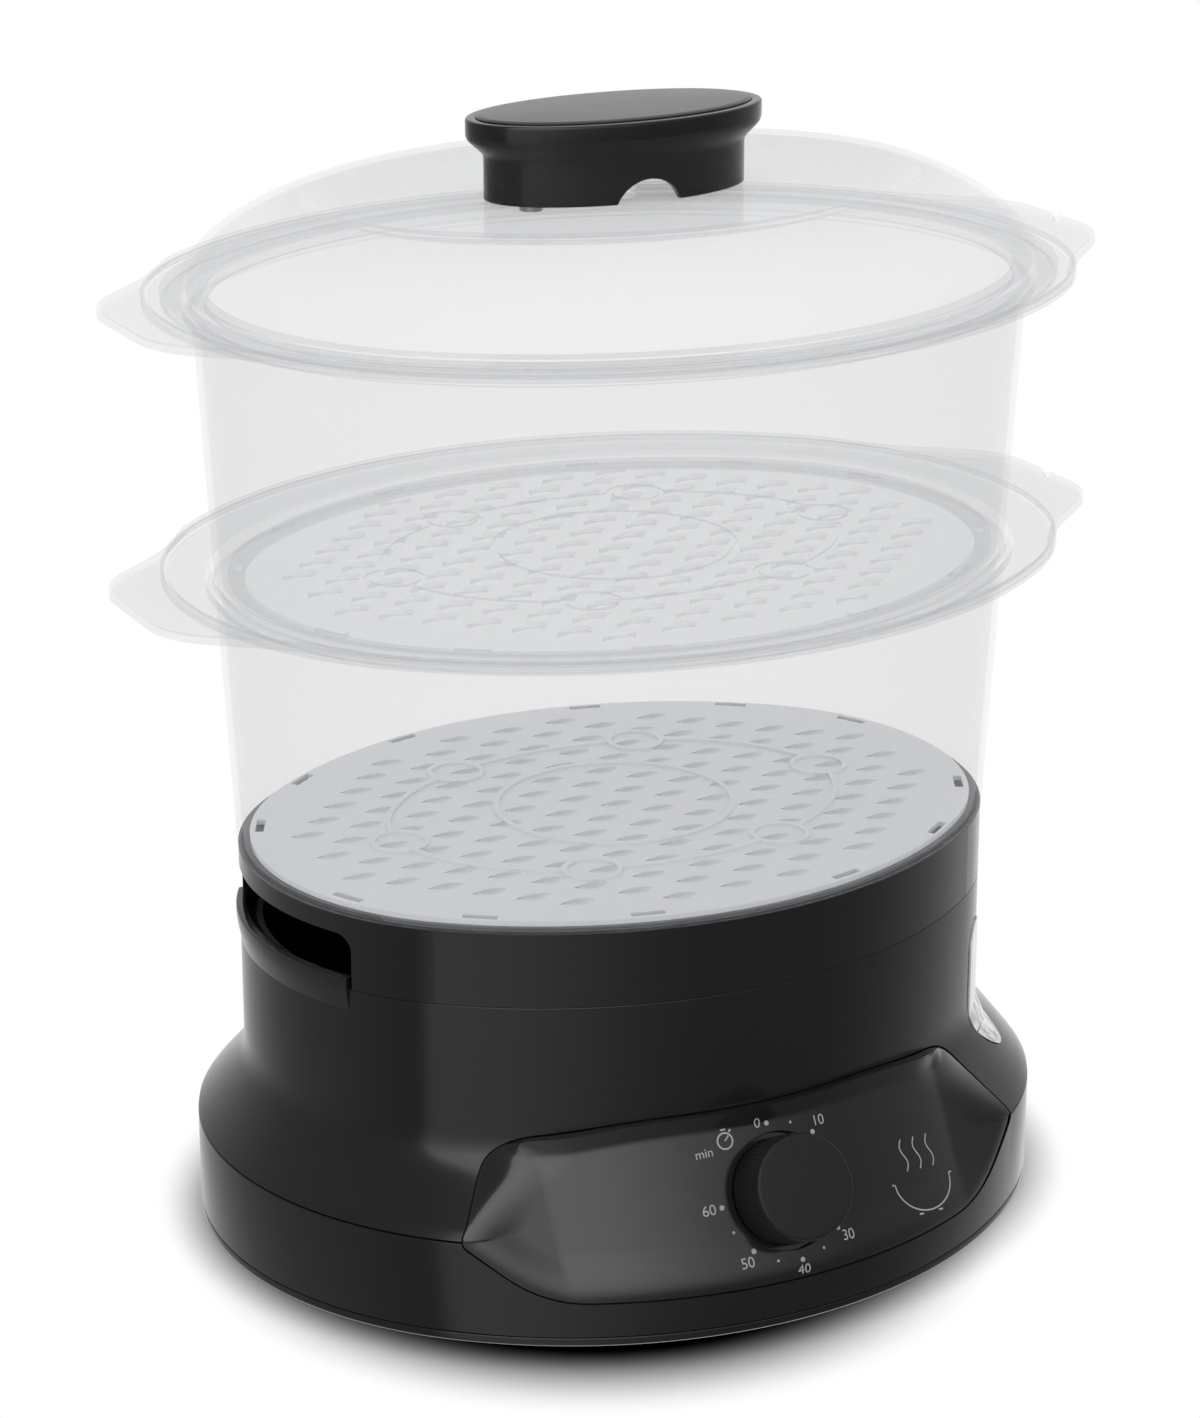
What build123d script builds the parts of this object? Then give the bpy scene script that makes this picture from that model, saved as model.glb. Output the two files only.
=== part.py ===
from build123d import *
import math
import os
from functools import cache

# Electric food steamer: an oval base with a timer, a drip tray, two stacked clear baskets and a domed lid.
# Millimetres. +Z is up, the worktop is z = 0 and the control panel faces -Y.
# Shells are four-arc ovals, so every wall, seat and flange is an exact offset of one reference oval.

# ---------------------------------------------------------------- driving dimensions
# reference oval: outer face of the tank housing's upright wall
WALL_HALF_X = 116.5
WALL_HALF_Y = 92.0
WALL_END_SHARE = 0.848

# skirt oval: outer face of the wide foot of the base, set a little to the front
SKIRT_HALF_X = 131.0
SKIRT_HALF_Y = 114.5
SKIRT_END_SHARE = 0.908
SKIRT_CENTRE_Y = -1.9

# base, bottom to top
FOOT_PROUD = 1.2
FOOT_SUNK = 0.9
FOOT_RADIUS = 8.0
FOOT_X = 84.0
FOOT_Y = 66.0
PLATE_THICK = 2.0
PLATE_INSET = 1.4
PLATE_RIM_HEIGHT = 4.0
PLATE_RIM_THICK = 1.6
VENT_COUNT = 5
VENT_LENGTH = 34.0
VENT_WIDTH = 3.0
VENT_PITCH = 8.0
VENT_Y = 18.0
SKIRT_HEIGHT = 28.3
SKIRT_THICK = 2.4
EDGE_RISE = 3.0
EDGE_INSET = 2.0
SHOULDER_RISE = 15.5
CREASE_OUT = 2.6
CREASE_DROP = 2.4
CREASE_RISE = 3.4
WALL_HEIGHT = 45.5
HOUSING_THICK = 2.2
SHOULDER_INSET = 2.6

# control panel: a slope that follows the oval, with an eight-sided outline seen from the front
PANEL_SLOPE_DEG = 28.6
PANEL_SET_BACK = 11.4
PANEL_ANCHOR_Z = 36.6
PANEL_CURVE_RADIUS = 150.0
PANEL_ARC_HALF = 66.0
PANEL_FLARE_DEG = 16.0
PANEL_THICK = 3.0
PANEL_BOTTOM_HALF = 73.0
PANEL_BOTTOM_Z = 14.0
PANEL_SIDE_HALF = 93.0
PANEL_SIDE_Z = 31.0
PANEL_SHOULDER_HALF = 74.0
PANEL_SHOULDER_Z = 54.5
PANEL_TOP_HALF = 38.0
PANEL_TOP_Z = 59.4
PANEL_CORNER_RADIUS = 6.0
PANEL_FRAME_WIDTH = 5.0
PANEL_FRAME_THICK = 2.0

# timer and knob, along the panel's normal
KNOB_RADIUS = 15.65
KNOB_PROUD = 14.0
KNOB_GAP = 0.6
KNOB_ROOF = 6.0
KNOB_EDGE = 0.8
KNOB_REST_DEG = 17.0
POINTER_LENGTH = 6.0
POINTER_WIDTH = 1.2
DIAL_RECESS_RADIUS = 17.25
DIAL_RECESS_DEPTH = 1.8
SHAFT_RADIUS = 3.0
SHAFT_FLAT = 1.0
SHAFT_SUNK = 6.0
SHAFT_PLAY = 0.05
TIMER_WIDTH = 34.0
TIMER_HEIGHT = 26.0
TIMER_DEPTH = 23.0
TIMER_FLANGE_THICK = 1.5
TIMER_SCREW_X = 22.0
TIMER_STANDOFF = 4.0
TIMER_SCREW_LENGTH = 5.0
BELL_RADIUS = 12.0
BELL_DEPTH = 6.0

# water tank inside the housing
TANK_GAP = 2.6
TANK_THICK = 1.8
TANK_FLOOR_Z = 42.0
TANK_FLOOR_THICK = 2.5
TANK_CHAMFER = 7.0
TANK_LEDGE_DROP = 7.5
TANK_LIP_THICK = 2.5
LEDGE_THICK = 2.0
HEATER_HOLE_RADIUS = 30.0
HEATER_RADIUS = 38.0
HEATER_THICK = 4.0
HEATER_SEAL_THICK = 1.0
ELEMENT_RADIUS = 22.0
ELEMENT_TUBE_RADIUS = 3.2
ELEMENT_GAP_DEG = 50.0
ELEMENT_END_DROP = 9.0
HEATER_SCREW_BITE = 3.0
THERMOSTAT_RADIUS = 8.0
THERMOSTAT_HEIGHT = 9.0
FUSE_RADIUS = 1.9
FUSE_LENGTH = 14.0
RING_FOOT_RADIUS = 47.0
RING_TOP_RADIUS = 43.0
RING_HEIGHT = 34.0
RING_THICK = 1.8
RING_PORT_WIDTH = 12.0
RING_PORT_HEIGHT = 3.5

# level window in the housing wall, front right
WINDOW_BEARING_DEG = -38.6
WINDOW_WIDTH = 18.0
WINDOW_TOP_Z = 82.0
WINDOW_BOTTOM_Z = 41.5
WINDOW_PROUD = 0.5
WINDOW_FRAME = 2.0

# drip tray, with the water inlet at its -X end
TRAY_HEIGHT = 22.2
TRAY_THICK = 2.2
TRAY_FLOOR_RISE = 4.6
TRAY_FLOOR_THICK = 1.8
TRAY_SPIGOT_DROP = 4.5
TRAY_SPIGOT_THICK = 1.8
TRAY_RIM_HEIGHT = 7.0
TRAY_RIM_THICK = 1.6
STEAM_DOME_RADIUS = 46.0
STEAM_DOME_RISE = 8.0
STEAM_SLOT_COUNT = 12
STEAM_SLOT_LENGTH = 16.0
STEAM_SLOT_WIDTH = 5.0
INLET_HALF_WIDTH = 40.0
INLET_BOTTOM_RISE = 3.5
INLET_TOP_RISE = 16.5
INLET_CORNER = 5.0
INLET_DAM_X = -94.0
INLET_LIP_PROUD = 1.2
INLET_LIP_DEPTH = 8.0

# baskets
BASKET_DRAFT = 0.05
BASKET_PITCH = 81.2
BASKET_THICK = 1.8
LOWER_BASKET_OUT = 0.3
BASKET_LEDGE_WIDTH = 7.0
BASKET_LEDGE_THICK = 1.2
BASKET_LIP_DROP = 2.5
BASKET_LIP_THICK = 1.4
STACK_GAP = 0.8
FLANGE_RISE = 5.3
FLANGE_THICK = 1.8
FLANGE_DROP = 3.2
LOWER_FLANGE_OUT = 20.0
UPPER_FLANGE_OUT = 22.7
SEAT_DEPTH = 1.6
EAR_REACH = 36.0
EAR_TIP_HALF = 24.6
EAR_TIP_RADIUS = 22.0
EAR_ROOT_DEG = 29.0
EAR_ROOT_RADIUS = 14.0
EAR_THICK = 1.8
EAR_BEAD = 1.0

# basket floor grids
GRID_THICK = 1.6
GRID_GAP = 2.0
GRID_BORDER = 11.0
SLOT_LENGTH = 10.6
SLOT_WIDTH = 3.2
SLOT_PITCH_X = 9.35
SLOT_PITCH_Y = 9.25
GRID_RING_X = 37.0
GRID_RING_Y = 35.0
GRID_BEAD_HEIGHT = 0.8
GRID_BEAD_WIDTH = 1.6
EGG_RING_RADIUS = 9.0
EGG_OVAL_X = 71.5
EGG_OVAL_Y = 51.0
EGG_ANGLE_DEG = 64.0
CATCH_ANGLES_DEG = (22.0, 47.0, 73.0)
CATCH_LENGTH = 10.0
CATCH_WIDTH = 2.6

# lid
LID_RIM_OUT = 17.4
LID_THICK = 1.8
LID_SPIGOT_DROP = 2.4
LID_SPIGOT_THICK = 1.4
LID_SPRING_OUT = 11.5
LID_CREST_OUT = -22.7
LID_RISE = 26.7
LID_SPRING_PULL = (1.9, 11.2)
LID_CREST_PULL = (11.1, 2.0)
LID_WELL_OUT = -31.0
LID_WELL_DEPTH = 3.3
STEAM_HOLE_RADIUS = 6.0

# lid handle
STEM_HALF_X = 40.7
STEM_HALF_Y = 21.6
STEM_HEIGHT = 12.8
GRIP_HALF_X = 46.2
GRIP_HALF_Y = 23.9
GRIP_FLARE = 4.8
GRIP_HEIGHT = 5.8
GRIP_EDGE = 0.8
CAP_INSET = 3.0
CAP_THICK = 2.0
CAP_PROUD = 0.9
HANDLE_THICK = 2.4
NOTCH_RADIUS = 11.0
NOTCH_SINK = 6.7
HANDLE_SCREW_X = 27.0
HANDLE_SCREW_LENGTH = 10.0

# fasteners and cord bush
SCREW_RADIUS = 1.6
SCREW_HEAD_RADIUS = 3.4
SCREW_HEAD_THICK = 1.8
SCREW_CLEARANCE = 0.3
PILOT_CLEARANCE = 0.05
BOSS_RADIUS = 4.6
BASE_SCREW_X = 102.0
BASE_SCREW_Y = 58.0
BASE_SCREW_LENGTH = 16.0
BUSH_Z = 15.0
BUSH_RADIUS = 6.6
BUSH_TIP_RADIUS = 5.2
BUSH_PROUD = 11.8
BUSH_INSIDE = 9.0
BUSH_BORE = 3.4
BUSH_GROOVE = 1.2
TERMINAL_Y = 70.0
TERMINAL_LENGTH = 30.0
TERMINAL_WIDTH = 14.0
TERMINAL_HEIGHT = 12.0
LEAD_RADIUS = 1.2
LEAD_BEND = 8.0
SEAT_CLEARANCE = 0.05
PART_CLEARANCE = 0.3

# ---------------------------------------------------------------- sizes that follow from them
WALL_END_RADIUS = WALL_END_SHARE * WALL_HALF_Y
SKIRT_END_RADIUS = SKIRT_END_SHARE * SKIRT_HALF_Y
PANEL_ANCHOR_Y = SKIRT_CENTRE_Y - SKIRT_HALF_Y + PANEL_SET_BACK
EAR_TIP_X = WALL_HALF_X + EAR_REACH
PLATE_Z = FOOT_PROUD
SKIRT_Z = PLATE_Z + PLATE_THICK
SKIRT_TOP_Z = SKIRT_Z + SKIRT_HEIGHT
EDGE_Z = SKIRT_TOP_Z + EDGE_RISE
CREASE_Z = EDGE_Z + SHOULDER_RISE
WALL_FOOT_Z = CREASE_Z + CREASE_RISE
BASE_TOP_Z = CREASE_Z + WALL_HEIGHT
TRAY_TOP_Z = BASE_TOP_Z + TRAY_HEIGHT
UPPER_BASKET_OUT = LOWER_BASKET_OUT + BASKET_DRAFT * BASKET_PITCH
UPPER_BASKET_Z = TRAY_TOP_Z + BASKET_PITCH
LID_SEAT_Z = UPPER_BASKET_Z + BASKET_PITCH + FLANGE_RISE - SEAT_DEPTH
LID_SPRING_Z = LID_SEAT_Z + LID_THICK
LID_CREST_Z = LID_SPRING_Z + LID_RISE
LID_WELL_Z = LID_CREST_Z - LID_WELL_DEPTH
TANK_WALL_OUT = -(HOUSING_THICK + TANK_GAP)
TANK_LEDGE_Z = BASE_TOP_Z - TANK_LEDGE_DROP
TANK_WALL_Z = TANK_FLOOR_Z + TANK_CHAMFER
HEATER_Z = TANK_FLOOR_Z + TANK_FLOOR_THICK + HEATER_SEAL_THICK
PLATE_RIM_TOP_Z = SKIRT_Z + PLATE_RIM_HEIGHT
GRIP_TOP_Z = LID_WELL_Z + STEM_HEIGHT + GRIP_FLARE + GRIP_HEIGHT


# ---------------------------------------------------------------- shared shapes
def oval_arcs(half_x, half_y, end_radius):
    """Centre, radius, start angle and sweep of the four tangent arcs of an oval."""
    side_radius = (half_x**2 + half_y**2 - 2 * half_x * end_radius) / (2 * (half_y - end_radius))
    end_centre = half_x - end_radius
    side_centre = side_radius - half_y
    seam = math.degrees(math.atan2(side_centre, end_centre))
    return [
        ((end_centre, 0), end_radius, -seam, 2 * seam),
        ((0, -side_centre), side_radius, seam, 180 - 2 * seam),
        ((-end_centre, 0), end_radius, 180 - seam, 2 * seam),
        ((0, side_centre), side_radius, 180 + seam, 180 - 2 * seam),
    ]


WALL_OVAL = oval_arcs(WALL_HALF_X, WALL_HALF_Y, WALL_END_RADIUS)
SKIRT_OVAL = oval_arcs(SKIRT_HALF_X, SKIRT_HALF_Y, SKIRT_END_RADIUS)


def oval_face(arcs, out, z, centre_y=0.0):
    """Flat face bounded by the oval offset outwards by out."""
    edges = [
        CenterArc((x, y + centre_y, z), radius + out, start, sweep)
        for (x, y), radius, start, sweep in arcs
    ]
    return Face(Wire(edges))


def wall_disc(out, bottom, top):
    """Oval disc of the reference family between two heights."""
    return extrude(oval_face(WALL_OVAL, out, bottom), top - bottom, dir=(0, 0, 1))


def skirt_disc(out, bottom, top):
    """Oval disc of the skirt family between two heights."""
    return extrude(oval_face(SKIRT_OVAL, out, bottom, SKIRT_CENTRE_Y), top - bottom, dir=(0, 0, 1))


def skirt_ring(outer, thick, bottom, top):
    return skirt_disc(outer, bottom, top) - skirt_disc(outer - thick, bottom, top)


def outline(*points):
    """Closed section drawn as (offset from the reference oval, height)."""
    return make_face(Polyline(*points, close=True))


def arc_sweep(section, arc):
    """Carry an (offset, height) section along one arc of the reference oval."""
    (x, y), radius, start, sweep = arc
    angle = math.radians(start)
    plane = Plane(
        origin=(x, y, 0),
        x_dir=(math.cos(angle), math.sin(angle), 0),
        z_dir=(math.sin(angle), -math.cos(angle), 0),
    )
    return revolve(plane * (Pos(radius, 0) * section), Axis((x, y, 0), (0, 0, 1)), sweep)


def oval_sweep(section):
    """Carry an (offset, height) section round the whole reference oval, arc by arc."""
    wedges = [arc_sweep(section, arc) for arc in WALL_OVAL]
    return wedges[0] + wedges[1:]


def oval_ring(outer, thick, bottom, top):
    return wall_disc(outer, bottom, top) - wall_disc(outer - thick, bottom, top)


def post(x, y, radius, bottom, top):
    return Pos(x, y, (bottom + top) / 2) * Cylinder(radius, top - bottom)


def tube(x, y, radius, bore, bottom, top):
    return post(x, y, radius, bottom, top) - post(x, y, bore, bottom, top)


def four_corners(half_x, half_y):
    return [(sx * half_x, sy * half_y) for sx in (-1, 1) for sy in (-1, 1)]


def screw(length):
    """Screw with its head underneath and its tip upwards, seated at the origin."""
    return post(0, 0, SCREW_HEAD_RADIUS, -SCREW_HEAD_THICK, 0) + post(0, 0, SCREW_RADIUS, 0, length)


def base_envelope(inset, drop=0.0):
    """Outer form of the housing from the skirt's top to the tray, shrunk by inset and lowered by drop."""
    edge = -EDGE_INSET - inset
    sections = [
        oval_face(SKIRT_OVAL, -inset, SKIRT_TOP_Z - drop, SKIRT_CENTRE_Y),
        oval_face(SKIRT_OVAL, edge, EDGE_Z - drop, SKIRT_CENTRE_Y),
        oval_face(WALL_OVAL, CREASE_OUT - inset, CREASE_Z - CREASE_DROP - drop),
        oval_face(WALL_OVAL, -inset, WALL_FOOT_Z - drop),
    ]
    body = wall_disc(-inset, WALL_FOOT_Z - drop, BASE_TOP_Z)
    for low, high in zip(sections, sections[1:]):
        body += loft([low, high], ruled=True)
    return body


# ---------------------------------------------------------------- control panel frame of reference
PANEL_PLANE = Plane(
    origin=(0, PANEL_ANCHOR_Y, PANEL_ANCHOR_Z),
    x_dir=(1, 0, 0),
    z_dir=(0, -math.cos(math.radians(PANEL_SLOPE_DEG)), math.sin(math.radians(PANEL_SLOPE_DEG))),
)


def panel_prism(grow):
    """The panel's front outline, grown by grow, run straight back through the front of the base."""
    corners = [
        (PANEL_BOTTOM_HALF, PANEL_BOTTOM_Z),
        (PANEL_SIDE_HALF, PANEL_SIDE_Z),
        (PANEL_SHOULDER_HALF, PANEL_SHOULDER_Z),
        (PANEL_TOP_HALF, PANEL_TOP_Z),
    ]
    points = corners + [(-x, z) for x, z in reversed(corners)]
    face = make_face(Polyline(*points, close=True))
    face = fillet(face.vertices(), PANEL_CORNER_RADIUS)
    if grow:
        face = offset(face, grow)
    front = Plane(origin=(0, 0, 0), x_dir=(1, 0, 0), z_dir=(0, -1, 0))
    return extrude(front * face, 2 * SKIRT_HALF_Y)


def panel_room(depth, grow):
    """What the panel takes up with grow all round it, down to depth behind its face."""
    return panel_prism(grow) - panel_block(depth)


def panel_block(depth):
    """Everything behind the panel's face, lowered by depth: an arc with a straight flare each side."""
    sag = PANEL_CURVE_RADIUS - math.sqrt(PANEL_CURVE_RADIUS**2 - PANEL_ARC_HALF**2)
    reach = 2 * PANEL_SIDE_HALF
    flare_sag = sag + (reach - PANEL_ARC_HALF) * math.tan(math.radians(PANEL_FLARE_DEG))
    arc = ThreePointArc((-PANEL_ARC_HALF, -sag), (0, 0), (PANEL_ARC_HALF, -sag))
    sides = Polyline(
        (PANEL_ARC_HALF, -sag),
        (reach, -flare_sag),
        (reach, -SKIRT_HALF_Y),
        (-reach, -SKIRT_HALF_Y),
        (-reach, -flare_sag),
        (-PANEL_ARC_HALF, -sag),
    )
    up_slope = (0, math.sin(math.radians(PANEL_SLOPE_DEG)), math.cos(math.radians(PANEL_SLOPE_DEG)))
    across = Plane(
        origin=PANEL_PLANE.origin - PANEL_PLANE.z_dir * depth,
        x_dir=(1, 0, 0),
        z_dir=tuple(-component for component in up_slope),
    )
    return extrude(across * make_face([arc, sides]), SKIRT_HALF_Y, both=True)


def on_panel(depth):
    """Frame on the panel's axis, depth below its face, pointing out of the panel."""
    return PANEL_PLANE.location * Pos(0, 0, -depth)


# ---------------------------------------------------------------- base
def bottom_plate():
    plate = skirt_disc(-PLATE_INSET, PLATE_Z, SKIRT_Z)
    rim_out = -SKIRT_THICK - PART_CLEARANCE
    plate += skirt_ring(rim_out, PLATE_RIM_THICK, SKIRT_Z, PLATE_RIM_TOP_Z)
    for x, y in four_corners(FOOT_X, FOOT_Y):
        plate -= post(x, y, FOOT_RADIUS + PART_CLEARANCE, PLATE_Z, PLATE_Z + FOOT_SUNK)
    for x, y in four_corners(BASE_SCREW_X, BASE_SCREW_Y):
        plate += post(x, y, BOSS_RADIUS + 1, SKIRT_Z, PLATE_RIM_TOP_Z)
        plate -= post(x, y, SCREW_HEAD_RADIUS + SCREW_CLEARANCE, PLATE_Z, PLATE_Z + SCREW_HEAD_THICK)
        plate -= post(x, y, SCREW_RADIUS + SCREW_CLEARANCE, PLATE_Z, PLATE_RIM_TOP_Z)
    for row in range(VENT_COUNT):
        y = VENT_Y + (row - VENT_COUNT // 2) * VENT_PITCH
        plate -= Pos(0, y, PLATE_Z) * Box(VENT_LENGTH, VENT_WIDTH, 4 * PLATE_THICK)
    return plate


def rubber_feet():
    foot = Pos(0, 0, (FOOT_PROUD + FOOT_SUNK) / 2) * Cylinder(FOOT_RADIUS, FOOT_PROUD + FOOT_SUNK)
    foot = chamfer(foot.edges().group_by(Axis.Z)[0], FOOT_PROUD / 3)
    return [Pos(x, y, 0) * foot for x, y in four_corners(FOOT_X, FOOT_Y)]


def bottom_screws():
    seat_z = PLATE_Z + SCREW_HEAD_THICK
    return [Pos(x, y, seat_z) * screw(BASE_SCREW_LENGTH) for x, y in four_corners(BASE_SCREW_X, BASE_SCREW_Y)]


def lower_skirt():
    skirt = skirt_ring(0, SKIRT_THICK, SKIRT_Z, SKIRT_TOP_Z)
    skirt -= panel_prism(SEAT_CLEARANCE)
    bush_hole = Pos(0, SKIRT_CENTRE_Y + SKIRT_HALF_Y, BUSH_Z) * Rot(90, 0, 0)
    skirt -= bush_hole * Cylinder(BUSH_RADIUS - BUSH_GROOVE, 4 * SKIRT_THICK)
    return skirt


def window_prism(grow, inner, outer):
    """Round-topped upright strip through the housing wall, between two distances along its normal."""
    half = WINDOW_WIDTH / 2 + grow
    bearing = math.radians(WINDOW_BEARING_DEG)
    normal = (math.cos(bearing), math.sin(bearing), 0)
    (centre, _), radius, _, _ = WALL_OVAL[0]
    plane = Plane(
        origin=(centre + radius * normal[0], radius * normal[1], 0),
        x_dir=(-normal[1], normal[0], 0),
        z_dir=normal,
    )
    low = WINDOW_BOTTOM_Z + WINDOW_WIDTH / 2
    high = WINDOW_TOP_Z - WINDOW_WIDTH / 2
    strip = Pos(0, (low + high) / 2) * Rectangle(2 * half, high - low)
    strip += Pos(0, low) * Circle(half)
    strip += Pos(0, high) * Circle(half)
    return extrude(plane.offset(inner) * strip, outer - inner)


def inlet_block(bottom, top):
    """Letterbox outline of the water inlet, run outwards from the dam at the -X end."""
    side = Plane(origin=(INLET_DAM_X, 0, (bottom + top) / 2), x_dir=(0, -1, 0), z_dir=(-1, 0, 0))
    return extrude(side * RectangleRounded(2 * INLET_HALF_WIDTH, top - bottom, INLET_CORNER), WALL_HALF_X)


def inlet_lip():
    """Pouring lip that the housing raises into the tray's cut-out at the -X end."""
    top = BASE_TOP_Z + INLET_BOTTOM_RISE
    flare = outline(
        (-HOUSING_THICK, BASE_TOP_Z - INLET_LIP_DEPTH),
        (0, BASE_TOP_Z - INLET_LIP_DEPTH),
        (INLET_LIP_PROUD, BASE_TOP_Z),
        (INLET_LIP_PROUD, top),
        (-HOUSING_THICK, top),
    )
    width = 2 * (INLET_HALF_WIDTH - PART_CLEARANCE)
    length = 2 * (WALL_HALF_X + INLET_DAM_X)
    return oval_sweep(flare) & Pos(-WALL_HALF_X, 0, BASE_TOP_Z) * Box(length, width, 4 * INLET_LIP_DEPTH)


@cache
def housing_moulding():
    """The whole moulding above the skirt; its shoulder and its upright wall are kept as two nodes."""
    shell = base_envelope(0) - base_envelope(SHOULDER_INSET, drop=1.0)
    shell -= wall_disc(-HOUSING_THICK, WALL_FOOT_Z, BASE_TOP_Z)
    ledge = TANK_GAP - PART_CLEARANCE
    shell += oval_ring(-HOUSING_THICK, ledge, TANK_LEDGE_Z - LEDGE_THICK, TANK_LEDGE_Z)
    room = base_envelope(EDGE_INSET) + skirt_disc(-SKIRT_THICK - SEAT_CLEARANCE, SKIRT_Z, SKIRT_TOP_Z)
    for x, y in four_corners(BASE_SCREW_X, BASE_SCREW_Y):
        shell += post(x, y, BOSS_RADIUS, PLATE_RIM_TOP_Z, CREASE_Z) & room
    opening = panel_prism(SEAT_CLEARANCE)
    behind = panel_block(PANEL_THICK)
    deeper = panel_block(PANEL_THICK + PANEL_FRAME_THICK)
    frame = (opening - panel_prism(-PANEL_FRAME_WIDTH)) & behind
    collar = (panel_prism(PANEL_FRAME_THICK) - opening) & base_envelope(0)
    shell -= opening - behind
    tank_room = tank_form(TANK_WALL_OUT + PART_CLEARANCE, TANK_FLOOR_Z - PART_CLEARANCE, BASE_TOP_Z)
    shell += (frame + collar) - deeper - tank_room
    shell += inlet_lip()
    shell -= window_prism(SEAT_CLEARANCE, -WINDOW_WIDTH, WINDOW_WIDTH)
    for x, y in four_corners(BASE_SCREW_X, BASE_SCREW_Y):
        top = PLATE_Z + SCREW_HEAD_THICK + BASE_SCREW_LENGTH + 1
        shell -= post(x, y, SCREW_RADIUS + PILOT_CLEARANCE, PLATE_RIM_TOP_Z, top)
    return shell


def housing_shoulder():
    """Sloped part of the moulding, with its screw bosses, up to where the wall turns upright."""
    return housing_moulding() - wall_disc(CREASE_OUT, WALL_FOOT_Z, TRAY_TOP_Z)


def upper_housing():
    """Upright wall of the moulding, with the ledge for the tank and the pouring lip."""
    return housing_moulding() & wall_disc(CREASE_OUT, WALL_FOOT_Z, TRAY_TOP_Z)


def level_window():
    """Clear strip that follows the wall down on to the shoulder, with a throat to the tank behind it."""
    pane = window_prism(0, -WINDOW_WIDTH, WINDOW_WIDTH)
    pane &= base_envelope(-WINDOW_PROUD) - base_envelope(HOUSING_THICK)
    throat = window_prism(-WINDOW_FRAME, -WINDOW_WIDTH, WINDOW_WIDTH)
    throat -= window_prism(-2 * WINDOW_FRAME, -WINDOW_WIDTH, WINDOW_WIDTH)
    return pane + (throat & oval_ring(-HOUSING_THICK, TANK_GAP, TANK_WALL_Z, TANK_LEDGE_Z))


def control_panel():
    panel = panel_prism(0) & (panel_block(0) - panel_block(PANEL_THICK))
    back = PANEL_THICK + TIMER_STANDOFF
    pilot_end = back + TIMER_FLANGE_THICK - TIMER_SCREW_LENGTH - PART_CLEARANCE
    for x in (-TIMER_SCREW_X, TIMER_SCREW_X):
        panel += on_panel(0) * post(x, 0, BOSS_RADIUS, -back, 0) & panel_block(PANEL_THICK / 2)
        panel -= on_panel(0) * post(x, 0, SCREW_RADIUS + PILOT_CLEARANCE, -back, -pilot_end)
    panel -= on_panel(0) * post(0, 0, DIAL_RECESS_RADIUS, -DIAL_RECESS_DEPTH, DIAL_RECESS_RADIUS)
    panel -= on_panel(0) * post(0, 0, SHAFT_RADIUS + PART_CLEARANCE, -back, 0)
    return panel


def cord_bush():
    """Rubber strain relief gripped by the back of the skirt, bored for the supply cord."""
    groove = BUSH_RADIUS - BUSH_GROOVE
    wall_in = -SKIRT_THICK - PART_CLEARANCE
    section = make_face(
        Polyline(
            (BUSH_BORE, wall_in - BUSH_INSIDE),
            (groove, wall_in - BUSH_INSIDE),
            (BUSH_RADIUS, wall_in - BUSH_INSIDE / 4),
            (BUSH_RADIUS, wall_in),
            (groove, wall_in),
            (groove, 0),
            (BUSH_RADIUS, 0),
            (BUSH_RADIUS, BUSH_PROUD / 5),
            (BUSH_TIP_RADIUS, BUSH_PROUD),
            (BUSH_BORE, BUSH_PROUD),
            close=True,
        )
    )
    bush = revolve(section, Axis.Y)
    return Pos(0, SKIRT_CENTRE_Y + SKIRT_HALF_Y, BUSH_Z) * bush


# ---------------------------------------------------------------- timer, along the panel's axis
def timer_body():
    front = PANEL_THICK + TIMER_STANDOFF
    flange = Pos(0, 0, -front - TIMER_FLANGE_THICK / 2)
    case = Pos(0, 0, -front - TIMER_FLANGE_THICK - TIMER_DEPTH / 2)
    body = flange * Box(2 * (TIMER_SCREW_X + BOSS_RADIUS), 2 * BOSS_RADIUS, TIMER_FLANGE_THICK)
    body += case * Box(TIMER_WIDTH, TIMER_HEIGHT, TIMER_DEPTH)
    body -= post(0, 0, SHAFT_RADIUS + SHAFT_PLAY, -front - SHAFT_SUNK - SHAFT_PLAY, 0)
    for x in (-TIMER_SCREW_X, TIMER_SCREW_X):
        body -= post(x, 0, SCREW_RADIUS + SCREW_CLEARANCE, -front - TIMER_FLANGE_THICK, 0)
    return on_panel(0) * body


def timer_bell():
    back = PANEL_THICK + TIMER_STANDOFF + TIMER_FLANGE_THICK + TIMER_DEPTH
    bell = post(0, 0, BELL_RADIUS, -back - BELL_DEPTH, -back)
    bell = fillet(bell.edges().group_by(Axis.Z)[0], BELL_DEPTH / 2)
    return on_panel(0) * bell


def timer_shaft():
    inner = -PANEL_THICK - TIMER_STANDOFF - SHAFT_SUNK
    outer = KNOB_PROUD - KNOB_ROOF
    shaft = post(0, 0, SHAFT_RADIUS, inner, outer)
    flat = Pos(0, SHAFT_RADIUS, outer) * Box(2 * SHAFT_RADIUS, 2 * SHAFT_FLAT, 2 * outer)
    return on_panel(0) * (Rot(0, 0, KNOB_REST_DEG) * (shaft - flat))


def timer_screws():
    back = PANEL_THICK + TIMER_STANDOFF + TIMER_FLANGE_THICK
    return [on_panel(back) * Pos(x, 0, 0) * screw(TIMER_SCREW_LENGTH) for x in (-TIMER_SCREW_X, TIMER_SCREW_X)]


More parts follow.
